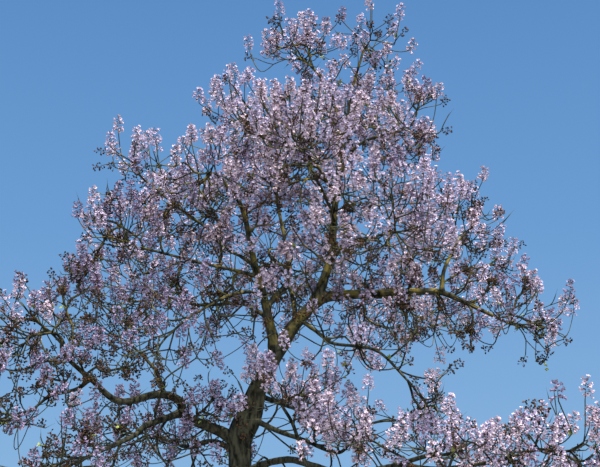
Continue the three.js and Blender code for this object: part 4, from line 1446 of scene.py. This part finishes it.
# %% Capsules
CAPSULE_SEED = 77
IN_A_BUNCH = 18
BUNCH_SHARES = (0.1, 1)  # of its length that has capsules
BUNCH_JITTER = 0.4
CAPSULE_REACH = 0.042
CAPSULE_REACHES, CAPSULE_RISES, CAPSULE_SIZES = (0.5, 1.3), (-0.5, 0.9), (0.8, 1.25)
CAPSULE_STALK = 0.004
OPEN_SHARE = 0.35


def bunch(cluster, random):
    shares = random.uniform(*BUNCH_SHARES, IN_A_BUNCH)
    turns = random.uniform(-BUNCH_JITTER, BUNCH_JITTER, IN_A_BUNCH)
    angles = np.arange(IN_A_BUNCH) * GOLDEN + turns
    reaches = CAPSULE_REACH * random.uniform(*CAPSULE_REACHES, IN_A_BUNCH)
    return round_an_axis(cluster, shares, angles, reaches, random.uniform(*CAPSULE_RISES, IN_A_BUNCH))


random = np.random.RandomState(CAPSULE_SEED)
length = FINE.kinds[CAPSULES].length
rows = [bunch((top, axis, length), random) for top, axis in bunches]
inner, feet, ways = (np.concatenate(parts) for parts in zip(*rows))
frames = frames_along(ways, random.uniform(0, 2 * math.pi, len(ways)))
sizes = random.uniform(*CAPSULE_SIZES, len(ways))
is_open = random.uniform(0, 1, len(ways)) < OPEN_SHARE
capsules = [
    new_piece(name, copies(SHAPES["capsule"], feet[own], frames[own], sizes[own]), False)
    for name, own in (("capsules", ~is_open), ("split_capsules", is_open))
]
capsule_stalks = new_piece("capsule_stalks", stalks(inner, feet, frames, sizes, CAPSULE_STALK), True)
print("capsules:", len(ways))

# %% [markdown]
# The leaves are only just opening: a few small yellow-green hearts at the foot of some clusters. Four
# triangles, with the middle pressed down, make a leaf that is folded a little along its rib.

# %% Young leaves
LEAF_SEED = 31
LEAFY_SHARE = 0.1
LEAVES = 3
LEAF_LENGTHS = (0.045, 0.095)
LEAF_SHARES = (-0.1, 0.2)  # along a cluster, where below 0 is below its foot
LEAF_REACH = 0.02
LEAF_RISES = (-0.3, 0.8)
LEAFY_LENGTH = FINE.kinds[BLOSSOM].length * 1.05
LEAF = (
    np.array([[0, 0, 0], [-0.42, 0.28, 0.1], [0, 1, -0.12], [0.42, 0.28, 0.1], [0, 0.42, -0.02]]),
    np.array([[0, 4, 1], [1, 4, 2], [2, 4, 3], [3, 4, 0]]),
)

random = np.random.RandomState(LEAF_SEED)
leafy = [cluster for cluster in clusters if random.uniform() < LEAFY_SHARE]
rows = [
    round_an_axis(
        (top, axis, LEAFY_LENGTH), random.uniform(*LEAF_SHARES, LEAVES),
        random.uniform(0, 2 * math.pi, LEAVES), np.full(LEAVES, LEAF_REACH),
        random.uniform(*LEAF_RISES, LEAVES),
    )
    for top, axis, _ in leafy
]
_, feet, ways = (np.concatenate(parts) for parts in zip(*rows))
# A leaf's own length runs along its second axis, so the frame is turned until that points out.
upright = frames_along(ways, np.zeros(len(ways)))
turned = np.stack([upright[:, :, 0], upright[:, :, 2], -upright[:, :, 1]], -1)
lengths = random.uniform(*LEAF_LENGTHS, len(ways))
leaves = new_piece("young_leaves", copies(LEAF, feet, turned, lengths), True)
print("leaves:", len(ways))

# %% [markdown]
# The materials share a few small node helpers. All noise is laid over places in metres, so a
# finish has the same grain on a thick limb and on a thin one, and no piece has to be unwrapped.

# %% Helpers for nodes
def new_group(name, inputs, outputs):
    """An empty node group. inputs: name, socket type and starting value. outputs: name and socket type."""
    group = bpy.data.node_groups.new(name, "ShaderNodeTree")
    for label, kind_of, value in inputs:
        socket = group.interface.new_socket(name=label, in_out="INPUT", socket_type=kind_of)
        socket.default_value = value
    for label, kind_of in outputs:
        group.interface.new_socket(name=label, in_out="OUTPUT", socket_type=kind_of)
    return group, group.nodes.new("NodeGroupInput"), group.nodes.new("NodeGroupOutput")


def drawn_out(tree, place, stretch):
    """The place with its height divided by the stretch, so that what is laid over it grows taller."""
    height = tree.nodes.new("ShaderNodeMath")
    height.operation = "DIVIDE"
    height.inputs[0].default_value = 1
    squeeze = tree.nodes.new("ShaderNodeCombineXYZ")
    squeeze.inputs["X"].default_value = squeeze.inputs["Y"].default_value = 1
    product = tree.nodes.new("ShaderNodeVectorMath")
    product.operation = "MULTIPLY"
    tree.links.new(stretch, height.inputs[1])
    tree.links.new(height.outputs[0], squeeze.inputs["Z"])
    tree.links.new(place, product.inputs[0])
    tree.links.new(squeeze.outputs["Vector"], product.inputs[1])
    return product.outputs["Vector"]


def noise_in_metres(tree, detail, stretch=None):
    """Noise over places on the tree. stretch: a socket that says how much taller than wide it is."""
    place = tree.nodes.new("ShaderNodeTexCoord").outputs["Object"]
    if stretch is not None:
        place = drawn_out(tree, place, stretch)
    noise = tree.nodes.new("ShaderNodeTexNoise")
    noise.inputs["Detail"].default_value = detail
    tree.links.new(place, noise.inputs["Vector"])
    return noise


def spread(tree, value, low, high):
    """Stretches the middle of a noise's range to the whole of 0 to 1."""
    stretch = tree.nodes.new("ShaderNodeMapRange")
    stretch.inputs["From Min"].default_value = low
    stretch.inputs["From Max"].default_value = high
    tree.links.new(value, stretch.inputs["Value"])
    return stretch.outputs["Result"]


print("groups so far:", len(bpy.data.node_groups))

# %% [markdown]
# Surfaces out of doors are never one colour. One group mixes two colours by soft noise, and every
# material uses it with its own colours and its own size of patch. On bark the patches are stretched
# upwards, because rain and lichen leave long streaks on the trunk and the stems.

# %% The mottle group
MOTTLE_EDGES = (0.36, 0.64)  # the noise's values where one colour ends and the other starts


def make_mottle():
    group, given, result = new_group(
        "mottle",
        [
            ("Patches per metre", "NodeSocketFloat", 20.0),
            ("Upright stretch", "NodeSocketFloat", 1.0),
            ("First colour", "NodeSocketColor", (0.5, 0.5, 0.5, 1)),
            ("Second colour", "NodeSocketColor", (0.3, 0.3, 0.3, 1)),
        ],
        [("Colour", "NodeSocketColor"), ("Mask", "NodeSocketFloat")],
    )
    noise = noise_in_metres(group, detail=3, stretch=given.outputs["Upright stretch"])
    mask = spread(group, noise.outputs["Fac"], *MOTTLE_EDGES)
    mix = group.nodes.new("ShaderNodeMix")
    mix.data_type = "RGBA"
    group.links.new(given.outputs["Patches per metre"], noise.inputs["Scale"])
    group.links.new(mask, mix.inputs["Factor"])
    group.links.new(given.outputs["First colour"], mix.inputs["A"])
    group.links.new(given.outputs["Second colour"], mix.inputs["B"])
    group.links.new(mix.outputs["Result"], result.inputs["Colour"])
    group.links.new(mask, result.inputs["Mask"])
    return group


MOTTLE = make_mottle()
print("group:", MOTTLE.name, "with", len(MOTTLE.nodes), "nodes")

# %% [markdown]
# Golden lichen grows on the stems from the middle of the tree up, and on their sunny faces its colour is
# also painted sunlight. Its mask is noise times how far the surface faces that side times its height, so
# it has a place on the tree.

# %% The lichen and painted sunlight group
LICHEN_AND_SUNLIGHT_EDGES = (0.47, 0.6)  # the noise's values from bare bark to full lichen and painted sunlight
# The sunny side: faces that turn towards it get lichen and painted sunlight.
SUNLIT_SIDE = (0.35, -0.7, 0.5)
SUNLIT_FACING = (-0.2, 0.75)  # how far a surface faces that side, for none of the lichen and painted sunlight, and for all of it
LICHEN_AND_SUNLIGHT_HEIGHTS = (5.6, 7.8)


def make_lichen_and_sunlight():
    group, given, result = new_group(
        "lichen",
        [("Patches per metre", "NodeSocketFloat", 6.0), ("Amount", "NodeSocketFloat", 1.0)],
        [("Mask", "NodeSocketFloat")],
    )
    noise = noise_in_metres(group, detail=6)
    patches = spread(group, noise.outputs["Fac"], *LICHEN_AND_SUNLIGHT_EDGES)
    surface = group.nodes.new("ShaderNodeNewGeometry")
    facing = group.nodes.new("ShaderNodeVectorMath")
    facing.operation = "DOT_PRODUCT"
    facing.inputs[1].default_value = SUNLIT_SIDE
    sides = spread(group, facing.outputs["Value"], *SUNLIT_FACING)
    place = group.nodes.new("ShaderNodeTexCoord")
    parts = group.nodes.new("ShaderNodeSeparateXYZ")
    height = spread(group, parts.outputs["Z"], *LICHEN_AND_SUNLIGHT_HEIGHTS)
    group.links.new(given.outputs["Patches per metre"], noise.inputs["Scale"])
    group.links.new(surface.outputs["Normal"], facing.inputs[0])
    group.links.new(place.outputs["Object"], parts.inputs["Vector"])
    # The mask is lichen, and on the sunny faces it is painted sunlight as well.
    mask = patches
    for factor in (sides, height, given.outputs["Amount"]):
        product = group.nodes.new("ShaderNodeMath")
        product.operation = "MULTIPLY"
        group.links.new(mask, product.inputs[0])
        group.links.new(factor, product.inputs[1])
        mask = product.outputs[0]
    group.links.new(mask, result.inputs["Mask"])
    return group


LICHEN_AND_SUNLIGHT = make_lichen_and_sunlight()
print("group:", LICHEN_AND_SUNLIGHT.name, "with", len(LICHEN_AND_SUNLIGHT.nodes), "nodes")

# %% [markdown]
# Every material has the same skeleton: the mottle group for its colour, the same mask for a slight change
# of roughness, and a finer noise that a Bump node turns into a surface. The shader itself stays
# in the material, where its fixed numbers are set on its own sockets.

# %% One skeleton for every material
def new_material(name, first, second, patches, roughness, bump, bumps_per_metre, shine, stretch=1):
    """roughness: a pair, where the first colour is and where the second is. bump: height in metres."""
    made = bpy.data.materials.new(name)
    made.use_nodes = True
    tree = made.node_tree
    shader = tree.nodes["Principled BSDF"]
    mottle = tree.nodes.new("ShaderNodeGroup")
    mottle.node_tree = MOTTLE
    mottle.inputs["Patches per metre"].default_value = patches
    mottle.inputs["Upright stretch"].default_value = stretch
    mottle.inputs["First colour"].default_value = (*first, 1)
    mottle.inputs["Second colour"].default_value = (*second, 1)
    tree.links.new(mottle.outputs["Colour"], shader.inputs["Base Color"])
    rough = tree.nodes.new("ShaderNodeMapRange")
    rough.inputs["To Min"].default_value, rough.inputs["To Max"].default_value = roughness
    tree.links.new(mottle.outputs["Mask"], rough.inputs["Value"])
    tree.links.new(rough.outputs["Result"], shader.inputs["Roughness"])
    relief_noise = noise_in_metres(tree, detail=4)
    relief_noise.inputs["Scale"].default_value = bumps_per_metre
    surface = tree.nodes.new("ShaderNodeBump")
    surface.inputs["Distance"].default_value = bump
    tree.links.new(relief_noise.outputs["Fac"], surface.inputs["Height"])
    tree.links.new(surface.outputs["Normal"], shader.inputs["Normal"])
    shader.inputs["Specular IOR Level"].default_value = shine
    return made


def add_lichen_and_sunlight(material, colour, patches, amount):
    """Lays lichen and painted sunlight over the colour that the material has so far."""
    tree = material.node_tree
    shader = tree.nodes["Principled BSDF"]
    under = shader.inputs["Base Color"].links[0].from_socket
    lichen = tree.nodes.new("ShaderNodeGroup")
    lichen.node_tree = LICHEN_AND_SUNLIGHT
    lichen.inputs["Patches per metre"].default_value = patches
    lichen.inputs["Amount"].default_value = amount
    mix = tree.nodes.new("ShaderNodeMix")
    mix.data_type = "RGBA"
    mix.inputs["B"].default_value = (*colour, 1)
    tree.links.new(lichen.outputs["Mask"], mix.inputs["Factor"])
    tree.links.new(under, mix.inputs["A"])
    tree.links.new(mix.outputs["Result"], shader.inputs["Base Color"])


print("every material uses the group", MOTTLE.name, "and some use", LICHEN_AND_SUNLIGHT.name)

# %% [markdown]
# The tree's own finishes follow. Bark, felt and capsules are matt and grainy, and petals are a little
# silky. Each row says two colours, patches a metre, the roughness of either colour, the bumps' height,
# bumps a metre and how strongly the finish mirrors the light.

# %% Materials
MATT, SATIN, LEAFY = 0.1, 0.2, 0.5
PETAL_FINISH = (30, (0.5, 0.62), 0.0006, 260, SATIN)
FUNNEL_FINISH = (40, (0.5, 0.6), 0.0005, 300, SATIN)
CAPSULE_FINISH = (40, (0.6, 0.85), 0.001, 200, MATT)
PETAL_COLOURS = {
    "pale": ((0.785, 0.7, 0.785), (0.69, 0.57, 0.715)),
    "pink": ((0.86, 0.735, 0.77), (0.77, 0.605, 0.68)),
    "violet": ((0.45, 0.38, 0.485), (0.34, 0.27, 0.375)),
}
FUNNEL_COLOURS = {
    "pale": ((0.71, 0.57, 0.73), (0.57, 0.425, 0.61)),
    "pink": ((0.75, 0.575, 0.655), (0.6, 0.41, 0.51)),
    "violet": ((0.42, 0.31, 0.47), (0.29, 0.2, 0.34)),
}
BARK = new_material(
    "bark", (0.088, 0.083, 0.05), (0.012, 0.0125, 0.008), 16, (0.8, 0.95), 0.004, 90, MATT, stretch=3
)
# Golden lichen on the bark, which on the sunny faces is painted sunlight as well.
add_lichen_and_sunlight(BARK, (0.3, 0.23, 0.05), patches=5, amount=0.75)
TWIG_BARK = new_material(
    "twig_bark", (0.1, 0.098, 0.05), (0.028, 0.029, 0.018), 9, (0.7, 0.9), 0.001, 300, MATT
)
# Golden lichen on the twigs, which on the sunny faces is painted sunlight as well.
add_lichen_and_sunlight(TWIG_BARK, (0.26, 0.22, 0.05), patches=4, amount=0.5)
PETALS = [new_material("petals_" + name, *PETAL_COLOURS[name], *PETAL_FINISH) for name in TINTS]
FUNNELS = [new_material("funnels_" + name, *FUNNEL_COLOURS[name], *FUNNEL_FINISH) for name in TINTS]
CUP_FELT = new_material(
    "cup_felt", (0.2, 0.12, 0.07), (0.13, 0.07, 0.045), 50, (0.85, 0.95), 0.0008, 500, MATT
)
BUD_FELT = new_material(
    "bud_felt", (0.26, 0.17, 0.2), (0.2, 0.12, 0.09), 50, (0.8, 0.95), 0.0008, 500, MATT
)
CAPSULE = new_material("capsule", (0.065, 0.04, 0.023), (0.022, 0.015, 0.011), *CAPSULE_FINISH)
SPLIT = new_material("split_capsule", (0.22, 0.105, 0.045), (0.09, 0.045, 0.024), *CAPSULE_FINISH)
LEAF_GREEN = new_material(
    "young_leaf", (0.3, 0.34, 0.06), (0.2, 0.26, 0.05), 25, (0.45, 0.6), 0.0008, 200, LEAFY
)
print("materials:", len(bpy.data.materials))

# %% Dress the tree
def dress(piece, material, replaced):
    piece.data.materials.clear()
    piece.data.materials.append(material)
    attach(piece, "root")
    if replaced:
        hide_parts(*replaced)


dress(bark, BARK, limb_nodes)
dress(branches, BARK, mass_nodes)
dress(twigs, TWIG_BARK, mass_nodes)
for piece, material in zip(petals + funnels, PETALS + FUNNELS):
    dress(piece, material, mass_nodes)
dress(cups, CUP_FELT, [])
dress(buds, BUD_FELT, [])
dress(capsules[0], CAPSULE, [])
dress(capsules[1], SPLIT, [])
dress(capsule_stalks, CAPSULE, [])
dress(leaves, LEAF_GREEN, [])
pieces = [one for one in bpy.context.scene.objects if one.type == "MESH" and one.data.materials]
print("faces:", sum(len(one.data.polygons) for one in pieces))

# %% [markdown]
# The stage is a plain pale floor. A sun stands almost overhead, a little towards the photographer and to
# the right, as the lit upper sides of the boughs in the photo show. A very wide, weak light from the
# photographer's side fills the shadows. A plain sky pales towards the horizon, and below that it is as
# dim as shaded ground.

# %% Stage and light
FLOOR_SIZE = 18
SUNS = {  # the way the light goes, its strength, its width in degrees and its colour
    "sun": ((-0.2, 0.2, -0.96), 6.3, 2, (1, 0.95, 0.86)),
    "fill": ((0, 0.95, -0.3), 1.9, 60, (0.92, 0.95, 1)),
}
SKY_STOPS = (  # the upright part of a way to look, from -1 to 1, and the sky's colour there
    (-0.02, (0.07, 0.07, 0.06)), (0.02, (0.3, 0.52, 0.78)), (0.31, (0.15, 0.34, 0.65)),
    (0.6, (0.075, 0.21, 0.49)),
)


def make_floor():
    half = FLOOR_SIZE / 2
    corners = np.array([[-half, -half, 0], [half, -half, 0], [half, half, 0], [-half, half, 0]])
    floor = new_piece("floor", (corners, np.array([[0, 1, 2], [0, 2, 3]])), False)
    concrete = new_material(
        "floor", (0.27, 0.27, 0.255), (0.24, 0.24, 0.23), 0.5, (0.8, 0.9), 0.002, 20, MATT
    )
    floor.data.materials.append(concrete)
    floor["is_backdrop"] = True
    return floor


def make_sun(name, way, strength, width, colour):
    light = bpy.data.lights.new(name, "SUN")
    light.energy, light.angle, light.color = strength, math.radians(width), colour
    sun = bpy.data.objects.new(name, light)
    sun.rotation_euler = Vector(way).to_track_quat("-Z", "Y").to_euler()
    bpy.context.scene.collection.objects.link(sun)


def make_sky():
    """A plain change of colour with the height above the horizon, from the stops."""
    sky = bpy.data.worlds.new("sky")
    sky.use_nodes = True
    tree = sky.node_tree
    way = tree.nodes.new("ShaderNodeTexCoord")
    parts = tree.nodes.new("ShaderNodeSeparateXYZ")
    tree.links.new(way.outputs["Generated"], parts.inputs["Vector"])
    colour = None
    for (low, under), (high, over) in zip(SKY_STOPS, SKY_STOPS[1:]):
        share = tree.nodes.new("ShaderNodeMapRange")
        share.inputs["From Min"].default_value, share.inputs["From Max"].default_value = low, high
        mix = tree.nodes.new("ShaderNodeMix")
        mix.data_type = "RGBA"
        mix.inputs["A"].default_value, mix.inputs["B"].default_value = (*under, 1), (*over, 1)
        tree.links.new(parts.outputs["Z"], share.inputs["Value"])
        tree.links.new(share.outputs["Result"], mix.inputs["Factor"])
        if colour:
            tree.links.new(colour, mix.inputs["A"])
        colour = mix.outputs["Result"]
    tree.links.new(colour, tree.nodes["Background"].inputs["Color"])
    bpy.context.scene.world = sky
    bpy.context.scene.view_settings.view_transform = "Standard"


make_floor()
for name, rows in SUNS.items():
    make_sun(name, *rows)
make_sky()
print("stage: a floor of", FLOOR_SIZE, "m,", len(SUNS), "lights and a plain sky")

# %% [markdown]
# Last, both boxes are printed, the imported model's and the finished tree's.

# %% Sizes and the end
tree_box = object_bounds()
sizes = {
    "cad": [list(corner) for corner in cad_box],
    "visual": [list(corner) for corner in tree_box],
}
for name, box in sizes.items():
    print(name, "size:", [[round(value, 3) for value in corner] for corner in box])
